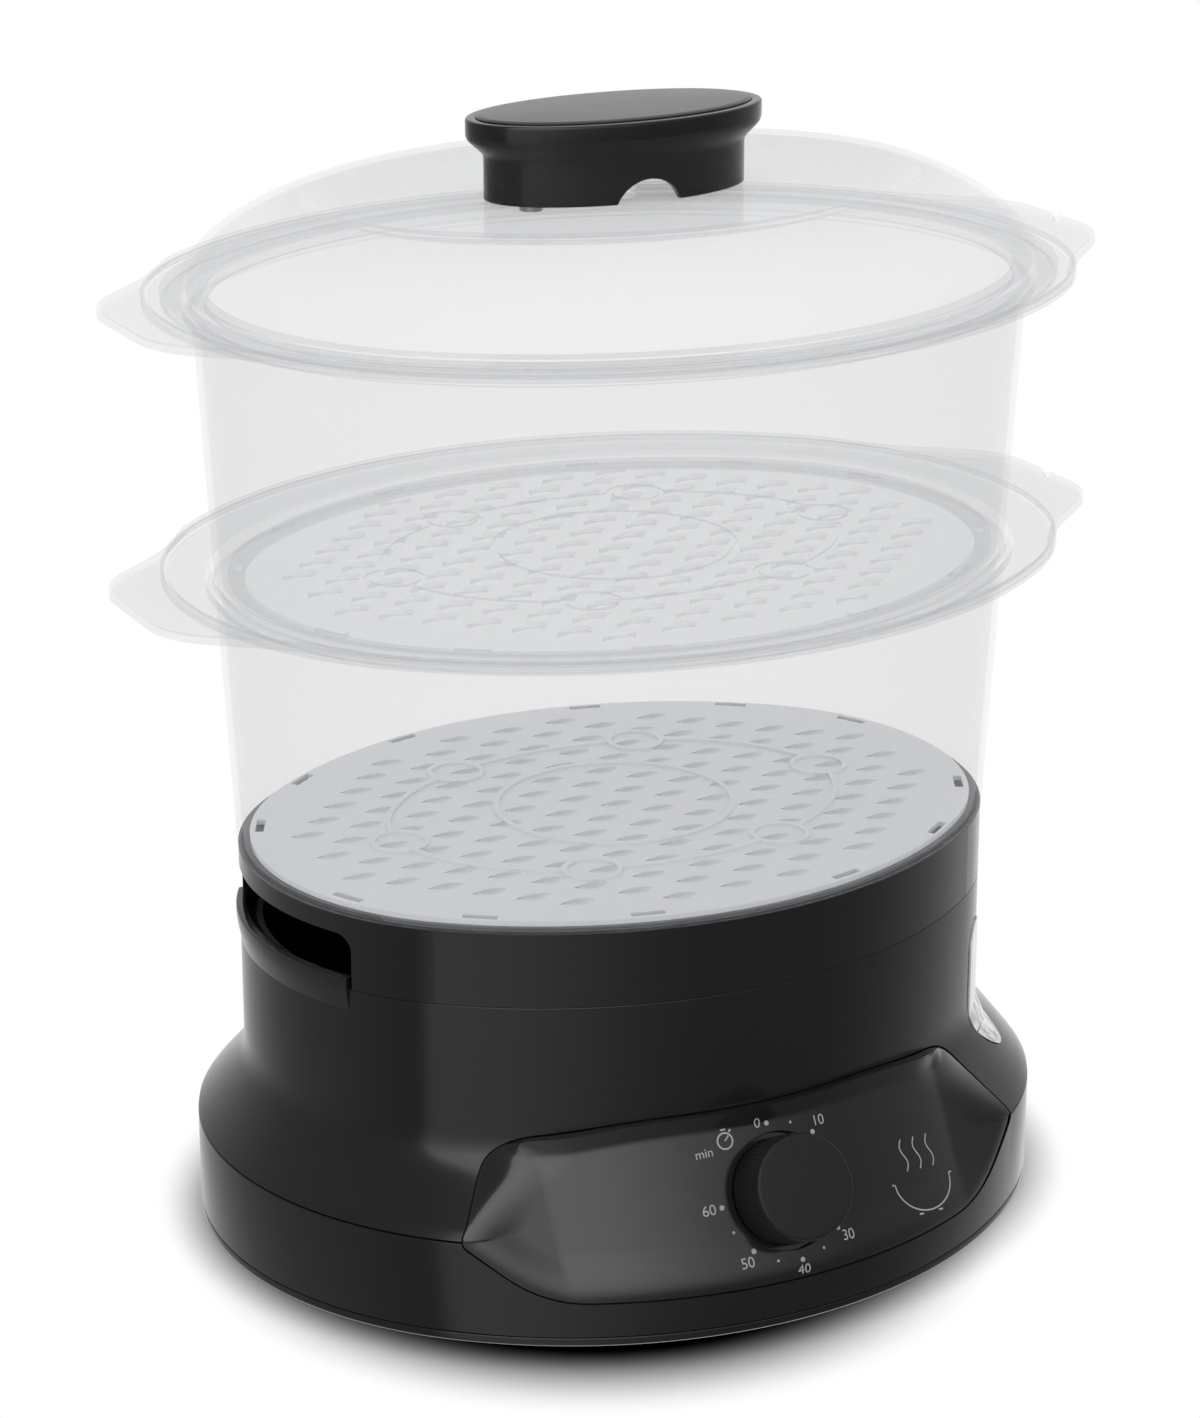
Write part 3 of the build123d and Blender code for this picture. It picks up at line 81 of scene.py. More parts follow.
def moulding_group():
    """Fine spark-eroded mould texture: a little height and a little change of gloss."""
    group, given, made = finish_group(
        "moulded_skin",
        {"Grain Size": 900.0, "Gloss": 0.3, "Gloss Change": 0.04},
        {"Roughness": "NodeSocketFloat", "Height": "NodeSocketFloat"},
    )
    place = add_node(group, "TexCoord")
    grain = add_node(group, "TexNoise", Detail=3.0)
    smear = add_node(group, "TexNoise", Scale=18.0, Detail=2.0)
    spread = add_node(group, "Math")
    spread.operation = "MULTIPLY_ADD"
    link = group.links.new
    link(place.outputs["Object"], grain.inputs["Vector"])
    link(place.outputs["Object"], smear.inputs["Vector"])
    link(given.outputs["Grain Size"], grain.inputs["Scale"])
    link(smear.outputs["Fac"], spread.inputs[0])
    link(given.outputs["Gloss Change"], spread.inputs[1])
    link(given.outputs["Gloss"], spread.inputs[2])
    link(spread.outputs["Value"], made.inputs["Roughness"])
    link(grain.outputs["Fac"], made.inputs["Height"])
    return group


moulded_skin = moulding_group()


def moulded(name, colour, gloss, grain=0.02, grain_size=900.0, **sockets):
    """Moulded plastic or rubber: flat colour under the fine skin that its mould gave it."""
    material, tree, shader = new_material(name, Base_Color=(*colour, 1.0), **sockets)
    skin = add_node(tree, "Group")
    skin.node_tree = moulded_skin
    skin.inputs["Gloss"].default_value = gloss
    skin.inputs["Grain Size"].default_value = grain_size
    bump = add_node(tree, "Bump", Strength=grain, Distance=0.0004)
    tree.links.new(skin.outputs["Roughness"], shader.inputs["Roughness"])
    tree.links.new(skin.outputs["Height"], bump.inputs["Height"])
    tree.links.new(bump.outputs["Normal"], shader.inputs["Normal"])
    return material


def metal(name, colour, gloss, stretch):
    """Worked metal: fine marks drawn out along one axis."""
    material, tree, shader = new_material(name, Base_Color=(*colour, 1.0), Metallic=1.0)
    place = add_node(tree, "TexCoord")
    along = add_node(tree, "Mapping", Scale=stretch)
    marks = add_node(tree, "TexNoise", Scale=60.0, Detail=4.0)
    spread = add_node(tree, "MapRange", To_Min=gloss - 0.08, To_Max=gloss + 0.12)
    bump = add_node(tree, "Bump", Strength=0.15, Distance=0.0003)
    tree.links.new(place.outputs["Object"], along.inputs["Vector"])
    tree.links.new(along.outputs["Vector"], marks.inputs["Vector"])
    tree.links.new(marks.outputs["Fac"], spread.inputs["Value"])
    tree.links.new(spread.outputs["Result"], shader.inputs["Roughness"])
    tree.links.new(marks.outputs["Fac"], bump.inputs["Height"])
    tree.links.new(bump.outputs["Normal"], shader.inputs["Normal"])
    return material


def dress(material, *nodes):
    """Give carried-over CAD nodes their finish."""
    for node in nodes:
        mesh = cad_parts[node].data
        mesh.materials.clear()
        mesh.materials.append(material)


satin_black = moulded("satin_black_plastic", (0.0105, 0.0107, 0.0112), 0.13)
foot_rubber = moulded("foot_rubber", (0.012, 0.012, 0.012), 0.75, grain=0.1)
zinc = metal("zinc_plated_steel", (0.62, 0.62, 0.60), 0.38, (1.0, 1.0, 6.0))
dress(zinc, "bottom_screws", "timer_screws", "heater_screws", "handle_screws")
dress(zinc, "timer_bell", "timer_body", "timer_shaft", "thermal_fuse")
dress(foot_rubber, "rubber_feet", "cord_bush")
dress(satin_black, "bottom_plate", "tray_collar")

# ---------------------------------------------------------------- heater, tank and wiring
# Cast aluminium heating plate over a bent tubular element, in a black polypropylene tank.
# All of it is inside the housing and is only seen with the tray lifted off.
cast_aluminium = metal("cast_aluminium", (0.78, 0.79, 0.80), 0.35, (1.0, 1.0, 1.0))
dress(cast_aluminium, "heating_plate", "thermostat")
dress(metal("heat_tinted_steel", (0.45, 0.40, 0.34), 0.42, (1.0, 1.0, 1.0)), "heating_element")
dress(moulded("seal_silicone", (0.42, 0.10, 0.07), 0.55), "heater_seal")
dress(moulded("lead_sleeve", (0.35, 0.03, 0.025), 0.6), "internal_leads")
dress(moulded("white_nylon", (0.72, 0.70, 0.65), 0.45), "terminal_block")
dress(moulded("tank_plastic", (0.020, 0.020, 0.021), 0.42, grain=0.06), "water_tank", "turbo_ring")

# ---------------------------------------------------------------- lower skirt
# Wide foot of the base: one black polypropylene moulding, a four-arc oval in plan.
# It drops over the bottom plate, and a thin groove parts it from the housing above.
MM = 0.001
TURNS = 384


def span(node):
    """Lowest and highest corner of a CAD node, in millimetres."""
    low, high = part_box(node)
    return low / MM, high / MM


def oval(half_x, half_y, end_radius, centre_y=0.0):
    """Four-arc oval as (end centre, end radius, side centre, side radius, seam angle, y shift)."""
    side_radius = (half_x**2 + half_y**2 - 2 * half_x * end_radius) / (2 * (half_y - end_radius))
    end_centre = half_x - end_radius
    side_centre = side_radius - half_y
    seam = math.atan2(side_centre, end_centre)
    return end_centre, end_radius, side_centre, side_radius, seam, centre_y


def oval_row(shape, out, z, count=TURNS):
    """Points round an oval offset outwards by out, one for each direction of its normal."""
    end_centre, end_radius, side_centre, side_radius, seam, centre_y = shape
    turn = np.linspace(0, 2 * math.pi, count, endpoint=False)
    c, s = np.cos(turn), np.sin(turn)
    at_end = np.abs(np.arctan2(s, np.abs(c))) <= seam
    x = np.where(at_end, np.sign(c) * end_centre + (end_radius + out) * c, (side_radius + out) * c)
    y = np.where(at_end, (end_radius + out) * s, (side_radius + out) * s - np.sign(s) * side_centre)
    return np.stack([x, y + centre_y, np.full_like(x, z)], axis=-1)


def soften(rows, radius, closed=True, steps=4):
    """Round the corners of a section made of rows, by one radius or by a radius for each row."""
    count = len(rows)
    radii = [radius] * count if np.isscalar(radius) else list(radius)
    made = []
    for i, corner in enumerate(rows):
        if radii[i] == 0 or (not closed and i in (0, count - 1)):
            made.append(corner)
            continue
        before = rows[i - 1] - corner
        after = rows[(i + 1) % count] - corner
        reach_before = np.linalg.norm(before, axis=-1, keepdims=True)
        reach_after = np.linalg.norm(after, axis=-1, keepdims=True)
        start = corner + before / reach_before * np.minimum(radii[i], 0.49 * reach_before)
        end = corner + after / reach_after * np.minimum(radii[i], 0.49 * reach_after)
        for t in np.linspace(0, 1, steps + 1):
            made.append((1 - t) ** 2 * start + 2 * t * (1 - t) * corner + t * t * end)
    return made


def new_piece(name, points, faces, material, crisp=32.0):
    """Mesh object from points in millimetres, smooth but for edges sharper than crisp degrees."""
    mesh = bpy.data.meshes.new(name)
    mesh.from_pydata((np.asarray(points, float) * MM).tolist(), [], faces)
    working = bmesh.new()
    working.from_mesh(mesh)
    bmesh.ops.remove_doubles(working, verts=working.verts, dist=1e-7)
    bmesh.ops.recalc_face_normals(working, faces=working.faces)
    working.to_mesh(mesh)
    working.free()
    mesh.polygons.foreach_set("use_smooth", [True] * len(mesh.polygons))
    mesh.set_sharp_from_angle(angle=math.radians(crisp))
    mesh.materials.append(material)
    piece = bpy.data.objects.new(name, mesh)
    bpy.context.scene.collection.objects.link(piece)
    return piece


def sweep(name, rows, material, closed=True, crisp=32.0):
    """Skin a loop of rows, each running once round the object."""
    count = len(rows[0])
    points = np.concatenate(rows)
    faces = []
    for i in range(len(rows) if closed else len(rows) - 1):
        a, b = i * count, ((i + 1) % len(rows)) * count
        faces += [(a + k, a + (k + 1) % count, b + (k + 1) % count, b + k) for k in range(count)]
    return new_piece(name, points, faces, material, crisp)


def strip(name, rows, columns, material):
    """Skin a loop of rows between two columns only, and close both ends."""
    rows = [row[columns] for row in rows]
    count = len(rows[0])
    faces = []
    for i in range(len(rows)):
        a, b = i * count, ((i + 1) % len(rows)) * count
        faces += [(a + k, a + k + 1, b + k + 1, b + k) for k in range(count - 1)]
    faces.append(tuple(i * count for i in range(len(rows))))
    faces.append(tuple(i * count + count - 1 for i in reversed(range(len(rows)))))
    return new_piece(name, np.concatenate(rows), faces, material)


def carve(piece, cutter, operation="DIFFERENCE", crisp=32.0):
    """Cut or intersect piece with cutter, which is used up."""
    modifier = piece.modifiers.new("carve", "BOOLEAN")
    modifier.operation = operation
    modifier.object = cutter
    modifier.solver = "EXACT"
    graph = bpy.context.evaluated_depsgraph_get()
    graph.update()
    cut = bpy.data.meshes.new_from_object(piece.evaluated_get(graph))
    piece.modifiers.clear()
    old = piece.data
    cut.name = piece.name
    piece.data = cut
    bpy.data.meshes.remove(old)
    bpy.data.objects.remove(cutter)
    cut.set_sharp_from_angle(angle=math.radians(crisp))
    return piece


def settle(piece, body, slot, *nodes):
    """The piece rides on body and stands for nodes, which are hidden; slot is not used."""
    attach(piece, body)
    if nodes:
        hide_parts(*nodes)
    return piece


SKIRT_THICK = 2.4
SKIRT_END_SHARE = 0.908
GROOVE_HALF = 0.25
skirt_low, skirt_high = span("lower_skirt")
skirt_shape = oval(
    (skirt_high.x - skirt_low.x) / 2,
    (skirt_high.y - skirt_low.y) / 2,
    SKIRT_END_SHARE * (skirt_high.y - skirt_low.y) / 2,
    (skirt_high.y + skirt_low.y) / 2,
)
skirt_rows = [
    oval_row(skirt_shape, 0, skirt_low.z + 0.1),
    oval_row(skirt_shape, 0, skirt_high.z - GROOVE_HALF),
    oval_row(skirt_shape, -SKIRT_THICK, skirt_high.z - GROOVE_HALF),
    oval_row(skirt_shape, -SKIRT_THICK, skirt_low.z + 0.1),
]
lower_skirt = sweep("lower_skirt_shell", soften(skirt_rows, [0.35, 0.45, 0.2, 0.2]), satin_black)

# The skirt's wall runs on down as a rim that stops just clear of the worktop.
RIM_THICK = 1.6
RIM_LOW_Z = 0.15
RIM_TUCK = 0.15
RIM_CHAMFER = 0.9
rim_rows = [
    oval_row(skirt_shape, -RIM_THICK, skirt_low.z - RIM_TUCK),
    oval_row(skirt_shape, -0.1, skirt_low.z - RIM_TUCK),
    oval_row(skirt_shape, 0, skirt_low.z - 0.6),
    oval_row(skirt_shape, 0, RIM_CHAMFER),
    oval_row(skirt_shape, -RIM_CHAMFER, RIM_LOW_Z),
    oval_row(skirt_shape, -RIM_THICK, RIM_LOW_Z),
]
foot_rim = sweep("foot_rim", soften(rim_rows, [0, 0.25, 0.3, 0.5, 0.3, 0]), satin_black)
settle(foot_rim, "base", "satin_black")

# The panel's outline, seen from the front, is cut out of both mouldings of the base.
PANEL_CORNERS = ((73.0, 14.0), (93.0, 31.0), (74.0, 54.5), (38.0, 59.4))
PANEL_CORNER_REACHES = (12.0, 3.5, 9.0, 12.0)
PANEL_MIDDLE = (0.0, 36.0)
PANEL_GAP = 0.35
PANEL_CUT_Y = (-140, -60)


def panel_outline(grow):
    """Rounded eight-sided outline as (x, z) points, grown by grow."""
    corners = list(PANEL_CORNERS) + [(-x, z) for x, z in reversed(PANEL_CORNERS)]
    centre = np.array(PANEL_MIDDLE)
    rows = []
    for i, corner in enumerate(corners):
        before, here, after = (np.array(corners[k % 8]) for k in (i - 1, i, i + 1))
        first = np.array([-(here - before)[1], (here - before)[0]])
        second = np.array([-(after - here)[1], (after - here)[0]])
        first, second = first / np.linalg.norm(first), second / np.linalg.norm(second)
        mitre = (first + second) / (1 + first @ second)
        mitre *= np.sign(mitre @ (here - centre))
        rows.append((here + grow * mitre)[None, :])
    reaches = list(PANEL_CORNER_REACHES) + list(reversed(PANEL_CORNER_REACHES))
    return np.concatenate(soften(rows, reaches, steps=8))


def prism(name, outline, near, far):
    """Closed prism along Y from an (x, z) outline."""
    count = len(outline)
    points = [(x, near, z) for x, z in outline] + [(x, far, z) for x, z in outline]
    faces = [(k, (k + 1) % count, count + (k + 1) % count, count + k) for k in range(count)]
    faces += [tuple(range(count)), tuple(range(2 * count - 1, count - 1, -1))]
    return new_piece(name, points, faces, satin_black)


carve(lower_skirt, prism("cutter", panel_outline(PANEL_GAP), *PANEL_CUT_Y))
settle(lower_skirt, "base", "satin_black", "lower_skirt")

# ---------------------------------------------------------------- upper housing
# Second black moulding: a shoulder that flares down to the skirt and an upright oval wall.
# It holds the tank, and raises a small pouring lip at the left end under the water inlet.
HOUSING_THICK = 2.2
EDGE_RISE = 3.0
EDGE_INSET = 2.0
CREASE_OUT = 2.6
CREASE_LOW_Z = 47.6
CREASE_HIGH_Z = 53.4
WALL_END_SHARE = 0.848
WALL_TOP_Z = 95.5
_, collar_high = span("tray_collar")
wall_shape = oval(collar_high.x, collar_high.y, WALL_END_SHARE * collar_high.y)
joint_z = skirt_high.z
wall_edge_z = WALL_TOP_Z - 0.15
housing_rows = [
    oval_row(skirt_shape, 0, joint_z + GROOVE_HALF),
    oval_row(skirt_shape, -EDGE_INSET, joint_z + EDGE_RISE),
    oval_row(wall_shape, CREASE_OUT, CREASE_LOW_Z),
    oval_row(wall_shape, 0, CREASE_HIGH_Z),
    oval_row(wall_shape, 0, wall_edge_z),
    oval_row(wall_shape, -HOUSING_THICK, wall_edge_z),
    oval_row(wall_shape, -HOUSING_THICK, CREASE_HIGH_Z - 1),
    oval_row(wall_shape, CREASE_OUT - HOUSING_THICK - 0.6, CREASE_LOW_Z - 2),
    oval_row(skirt_shape, -EDGE_INSET - HOUSING_THICK - 0.6, joint_z + EDGE_RISE - 2.2),
    oval_row(skirt_shape, -HOUSING_THICK, joint_z + GROOVE_HALF),
]
housing_rows = soften(housing_rows, [0.45, 1.6, 6.5, 5.0, 0.35, 0.2, 0, 0, 0, 0.2], steps=6)
upper_housing = sweep("upper_housing_shell", housing_rows, satin_black)
carve(upper_housing, prism("cutter", panel_outline(PANEL_GAP), *PANEL_CUT_Y))
settle(upper_housing, "base", "satin_black", "upper_housing", "housing_shoulder")

LIP_HALF_WIDTH = 39.7
LIP_PROUD = 1.2
LIP_RISE = 3.5
LIP_DROP = 8
lip_rows = [
    oval_row(wall_shape, -0.3, WALL_TOP_Z - LIP_DROP),
    oval_row(wall_shape, LIP_PROUD, WALL_TOP_Z),
    oval_row(wall_shape, LIP_PROUD, WALL_TOP_Z + LIP_RISE),
    oval_row(wall_shape, -HOUSING_THICK, WALL_TOP_Z + LIP_RISE),
    oval_row(wall_shape, -HOUSING_THICK, WALL_TOP_Z - LIP_DROP),
]
at_lip = np.nonzero((lip_rows[1][:, 0] < 0) & (np.abs(lip_rows[1][:, 1]) < LIP_HALF_WIDTH))[0]
pouring_lip = strip("pouring_lip", soften(lip_rows, [0.2, 1.5, 0.9, 0.9, 0.2]), at_lip, satin_black)
settle(pouring_lip, "base", "satin_black")

# ---------------------------------------------------------------- control panel
# Separate high-gloss black moulding that follows the oval's curve and leans back.
# Its ends and foot bend to lie flush with the mouldings; its top edge juts out as a narrow band.
PANEL_SLOPE = math.radians(28.6)
PANEL_ANCHOR = (-105.0, 36.6)
PANEL_CURVE_RADIUS = 150.0
PANEL_ARC_HALF = 66.0
PANEL_FLARE = math.tan(math.radians(16.0))
PANEL_THICK = 3.0


def panel_sag(x):
    """How far the panel's face has fallen back at x."""
    inside = min(abs(x), PANEL_ARC_HALF)
    sag = PANEL_CURVE_RADIUS - math.sqrt(PANEL_CURVE_RADIUS**2 - inside**2)
    return sag + max(0.0, abs(x) - PANEL_ARC_HALF) * PANEL_FLARE


def on_panel(x, z):
    """Point at x and height z on the plain curved face that the panel starts from."""
    depth = panel_sag(x)
    up = (z - PANEL_ANCHOR[1] + depth * math.sin(PANEL_SLOPE)) / math.cos(PANEL_SLOPE)
    return x, PANEL_ANCHOR[0] + up * math.sin(PANEL_SLOPE) + depth * math.cos(PANEL_SLOPE), z


def outline_span(outline, x):
    """Lowest and highest z of the outline at x."""
    heights = []
    for (x0, z0), (x1, z1) in zip(outline, np.roll(outline, -1, axis=0)):
        if min(x0, x1) <= x <= max(x0, x1) and x0 != x1:
            heights.append(z0 + (z1 - z0) * (x - x0) / (x1 - x0))
    return min(heights), max(heights)


# The mouldings' outer face: the skirt's foot, then the housing's rows up to the wall's top edge.
HOUSING_FACE_ROWS = 33
face_rows = [oval_row(skirt_shape, 0, skirt_low.z)] + housing_rows[:HOUSING_FACE_ROWS]
PANEL_BORDER = 13.0
PANEL_SINK = 0.2
PANEL_BAND = 4.8
PANEL_BAND_LEAN = -0.45
PANEL_BAND_Z = 54.2
PANEL_COLUMNS = 161
PANEL_LEVELS = 56


def moulding_depth(x, z):
    """Depth (y) of the mouldings' outer face at x and height z, on the side of the panel."""
    heights, depths = [], []
    for row in face_rows:
        front = row[row[:, 1] < 0]
        front = front[np.argsort(front[:, 0])]
        heights.append(np.interp(x, front[:, 0], front[:, 2]))
        depths.append(np.interp(x, front[:, 0], front[:, 1]))
    return np.interp(z, heights, depths)


def edge_distance(starts, ends, point):
    """Shortest distance from a point to a run of straight edges."""
    along = ends - starts
    share = np.clip(((point - starts) * along).sum(axis=1) / (along**2).sum(axis=1), 0, 1)
    return np.linalg.norm(starts + share[:, None] * along - point, axis=1).min()


def panel_surface(x, z, outline):
    """Panel's face: its border bends to lie flush with the mouldings, its top band leans out."""
    y = on_panel(x, z)[1]
    ends = np.roll(outline, -1, axis=0)
    upper = (outline[:, 1] > PANEL_BAND_Z) & (ends[:, 1] > PANEL_BAND_Z)
    inset = edge_distance(outline[~upper], ends[~upper], np.array([x, z]))
    if inset < PANEL_BORDER:
        lift = (1 - inset / PANEL_BORDER) ** 2
        y += (moulding_depth(x, z) + PANEL_SINK - y) * lift
    below_top = edge_distance(outline[upper], ends[upper], np.array([x, z]))
    return x, y + PANEL_BAND_LEAN * max(0.0, PANEL_BAND - below_top), z


def panel_sheet():
    """Front face on a grid between the outline's lower and upper edge, with its back and sides."""
    outline = panel_outline(0)
    half = np.abs(outline[:, 0]).max() - 0.02
    columns = half * np.sin(np.linspace(-math.pi / 2, math.pi / 2, PANEL_COLUMNS))
    points, faces = [], []
    for depth in (0.0, PANEL_THICK):
        for x in columns:
            low, high = outline_span(outline, x)
            for level in range(PANEL_LEVELS + 1):
                px, py, pz = panel_surface(x, low + (high - low) * level / PANEL_LEVELS, outline)
                points.append((px, py + depth, pz))
    stride = PANEL_LEVELS + 1
    sheet = len(columns) * stride
    for i in range(len(columns) - 1):
        for j in range(PANEL_LEVELS):
            k = i * stride + j
            faces.append((k, k + stride, k + stride + 1, k + 1))
            faces.append((sheet + k, sheet + k + 1, sheet + k + stride + 1, sheet + k + stride))
    rim = [i * stride for i in range(len(columns))]
    rim += [(len(columns) - 1) * stride + j for j in range(1, stride)]
    rim += [i * stride + PANEL_LEVELS for i in range(len(columns) - 2, -1, -1)]
    rim += list(range(PANEL_LEVELS - 1, 0, -1))
    for a, b in zip(rim, rim[1:] + rim[:1]):
        faces.append((a, b, sheet + b, sheet + a))
    return points, faces


gloss_black = moulded(
    "gloss_black_plastic", (0.010, 0.0105, 0.012), 0.10, grain=0.0, Coat_Weight=0.3
)
panel_points, panel_faces = panel_sheet()
control_panel = new_piece("control_panel_face", panel_points, panel_faces, gloss_black)
settle(control_panel, "base", "gloss_black", "control_panel")

# ---------------------------------------------------------------- level window
# Clear strip let into the wall, with a rounded foot that runs down on to the shoulder.
# Its colour carries painted highlights: white streaks with grey between them, drawn out up the
# strip.
window_clear, window_tree, window_shader = new_material(
    "window_clear", Base_Color=(0.93, 0.94, 0.95, 1.0), Roughness=0.12
)
window_link = window_tree.links.new
# Painted highlights: stretched noise lays white and grey streaks into the strip's colour.
window_place = add_node(window_tree, "TexCoord")
window_stretch = add_node(window_tree, "Mapping", Scale=(400.0, 400.0, 12.0))
window_painted_highlight_streaks = add_node(window_tree, "TexNoise", Scale=1.0)
window_painted_highlight_ramp = add_node(window_tree, "ValToRGB")
window_painted_highlight_ramp.color_ramp.elements[0].position = 0.35
window_painted_highlight_ramp.color_ramp.elements[0].color = (0.45, 0.47, 0.49, 1.0)
window_painted_highlight_ramp.color_ramp.elements[1].position = 0.6
window_painted_highlight_ramp.color_ramp.elements[1].color = (0.93, 0.94, 0.95, 1.0)
window_link(window_place.outputs["Object"], window_stretch.inputs["Vector"])
window_link(window_stretch.outputs["Vector"], window_painted_highlight_streaks.inputs["Vector"])
window_link(window_painted_highlight_streaks.outputs["Fac"], window_painted_highlight_ramp.inputs["Fac"])
window_link(window_painted_highlight_ramp.outputs["Color"], window_shader.inputs["Base Color"])
dress(window_clear, "level_window")

# ---------------------------------------------------------------- timer knob
# Round matt black knob pushed on the timer's shaft, finely ribbed round its side.
# Its pointer is a short slot near the edge of its face, drawn as a near-black block set flush into
# the face: painted shade where the slot would be.
KNOB_RADIUS = 15.65
KNOB_PROUD = 14.0
KNOB_REST = math.radians(-3.0)
KNOB_RIBS = 60
KNOB_RIB_DEPTH = 0.22
matt_black = moulded(
    "matt_black_plastic", (0.008, 0.008, 0.0085), 0.46, grain=0.05, Specular_IOR_Level=0.36
)
dial_axis = Matrix(
    (
        (1.0, 0.0, 0.0),
        (0.0, math.sin(PANEL_SLOPE), -math.cos(PANEL_SLOPE)),
        (0.0, math.cos(PANEL_SLOPE), math.sin(PANEL_SLOPE)),
    )
)
dial_centre = Vector((0.0, PANEL_ANCHOR[0], PANEL_ANCHOR[1]))


def on_dial(points):
    """Carry points from the dial's own frame (right, up the slope, outwards) to the base."""
    return [tuple(dial_centre + dial_axis @ Vector(point)) for point in points]


def knob_rows():
    """Knob's rows by (radius, height, ribbed): ribbed side, plain collar, chamfer and face."""
    turn = np.linspace(0, 2 * math.pi, KNOB_RIBS * 8, endpoint=False)
    ribs = KNOB_RIB_DEPTH * np.abs(np.sin(turn * KNOB_RIBS / 2))
    section = [
        (KNOB_RADIUS, -1.0, 1),
        (KNOB_RADIUS, KNOB_PROUD - 3.0, 1),
        (KNOB_RADIUS - 0.25, KNOB_PROUD - 2.6, 0),
        (KNOB_RADIUS - 0.25, KNOB_PROUD - 0.7, 0),
        (KNOB_RADIUS - 0.9, KNOB_PROUD, 0),
        (0.02, KNOB_PROUD, 0),
    ]
    rows = []
    for radius, height, ribbed in section:
        r = radius - ribs * ribbed
        heights = np.full_like(turn, height)
        rows.append(np.stack([r * np.sin(turn), r * np.cos(turn), heights], axis=-1))
    return rows


knob_rows_softened = soften(knob_rows(), [0, 0.3, 0.1, 0.5, 0.5, 0], closed=False)
knob_rows_softened = [np.array(on_dial(row)) for row in knob_rows_softened]
timer_knob = sweep("timer_knob_grip", knob_rows_softened, matt_black, closed=False)
settle(timer_knob, "knob", "matt_black", "timer_knob")


def dial_block(low, high, turn):
    """Closed box in the dial's frame, given by two corners and turned about the dial's axis."""
    spans = list(zip(low, high))
    corners = [(x, y, z) for x in spans[0] for y in spans[1] for z in spans[2]]
    spin = Matrix.Rotation(-turn, 3, "Z")
    faces = [(0, 1, 3, 2), (4, 6, 7, 5), (0, 4, 5, 1), (2, 3, 7, 6), (0, 2, 6, 4), (1, 5, 7, 3)]
    return on_dial([spin @ Vector(corner) for corner in corners]), faces


POINTER_HALF = 0.55
POINTER_START = 8.6
pointer_points, pointer_faces = dial_block(
    (-POINTER_HALF, POINTER_START, KNOB_PROUD - 0.5),
    (POINTER_HALF, KNOB_RADIUS - 0.2, KNOB_PROUD + 0.02),
    KNOB_REST,
)
# Painted shade: near-black colour stands in for the shade inside the pointer slot.
painted_slot_shade, _, _ = new_material(
    "painted_slot_shade", Base_Color=(0.002, 0.002, 0.002, 1.0), Roughness=0.6
)
pointer = new_piece("knob_pointer_slot_shade", pointer_points, pointer_faces, painted_slot_shade)
settle(pointer, "knob", "matt_black")

RECESS_RADIUS = 17.25
RECESS_DEPTH = 1.8


def ring_rows(section):
    """Rows round the dial's axis from (radius, height) pairs."""
    turn = np.linspace(0, 2 * math.pi, 128, endpoint=False)
    rows = []
    for radius, height in section:
        heights = np.full_like(turn, height)
        ring = np.stack([radius * np.sin(turn), radius * np.cos(turn), heights], axis=-1)
        rows.append(np.array(on_dial(ring)))
    return rows


cutter_rows = ring_rows(
    [(0.05, -RECESS_DEPTH), (RECESS_RADIUS, -RECESS_DEPTH), (RECESS_RADIUS, 4.0), (0.05, 4.0)]
)
carve(control_panel, sweep("cutter", cutter_rows, gloss_black), crisp=40.0)

# A fine bead runs round the recess.
bead_rows = ring_rows(
    [
        (RECESS_RADIUS + 0.5, -0.9),
        (RECESS_RADIUS + 0.25, 0.1),
        (RECESS_RADIUS, 0.1),
        (RECESS_RADIUS - 0.2, -0.4),
    ]
)
recess = sweep("dial_recess", bead_rows, satin_black, closed=False)
settle(recess, "base", "satin_black")

# ---------------------------------------------------------------- panel print
# Pad-printed silver-grey marks: minutes round the dial, a stopwatch sign and a bowl with steam.
# The ink is a thin film on the gloss panel and follows its curve.
print_silver, _, _ = new_material(
    "print_silver", Base_Color=(0.36, 0.37, 0.38, 1.0), Roughness=0.38
)
PRINT_PROUD = 0.07
print_points, print_faces = [], []
printed_outline = panel_outline(0)


def add_print(points, faces):
    """Add flat (across, up the slope) shapes to the print."""
    start = len(print_points)
    for across, up in points:
        z = PANEL_ANCHOR[1] + up * math.cos(PANEL_SLOPE) - panel_sag(across) * math.sin(PANEL_SLOPE)
        x, y, z = panel_surface(across, z, printed_outline)
        print_points.append((x, y - PRINT_PROUD, z))
    print_faces.extend(tuple(start + k for k in face) for face in faces)


def add_dot(across, up, radius, corners=20):
    """Round dot."""
    turn = np.linspace(0, 2 * math.pi, corners, endpoint=False)
    ring = [(across + radius * math.cos(t), up + radius * math.sin(t)) for t in turn]
    add_print(ring, [tuple(range(corners))])


def add_line(path, width):
    """Ribbon of even width along a path."""
    path = np.asarray(path, float)
    along = np.gradient(path, axis=0)
    aside = np.stack([-along[:, 1], along[:, 0]], axis=-1)
    aside = aside / np.linalg.norm(along, axis=-1, keepdims=True)
    edges = np.concatenate([path + aside * width / 2, path - aside * width / 2])
    count = len(path)
    add_print(edges, [(k, k + 1, count + k + 1, count + k) for k in range(count - 1)])


def add_arc(centre, radii, start, end, width, steps=40):
    """Ribbon along part of an ellipse, between two angles in degrees."""
    turn = np.radians(np.linspace(start, end, steps))
    across, up = centre[0] + radii[0] * np.cos(turn), centre[1] + radii[1] * np.sin(turn)
    add_line(np.stack([across, up], axis=-1), width)


CAPITAL_SHARE = 0.72


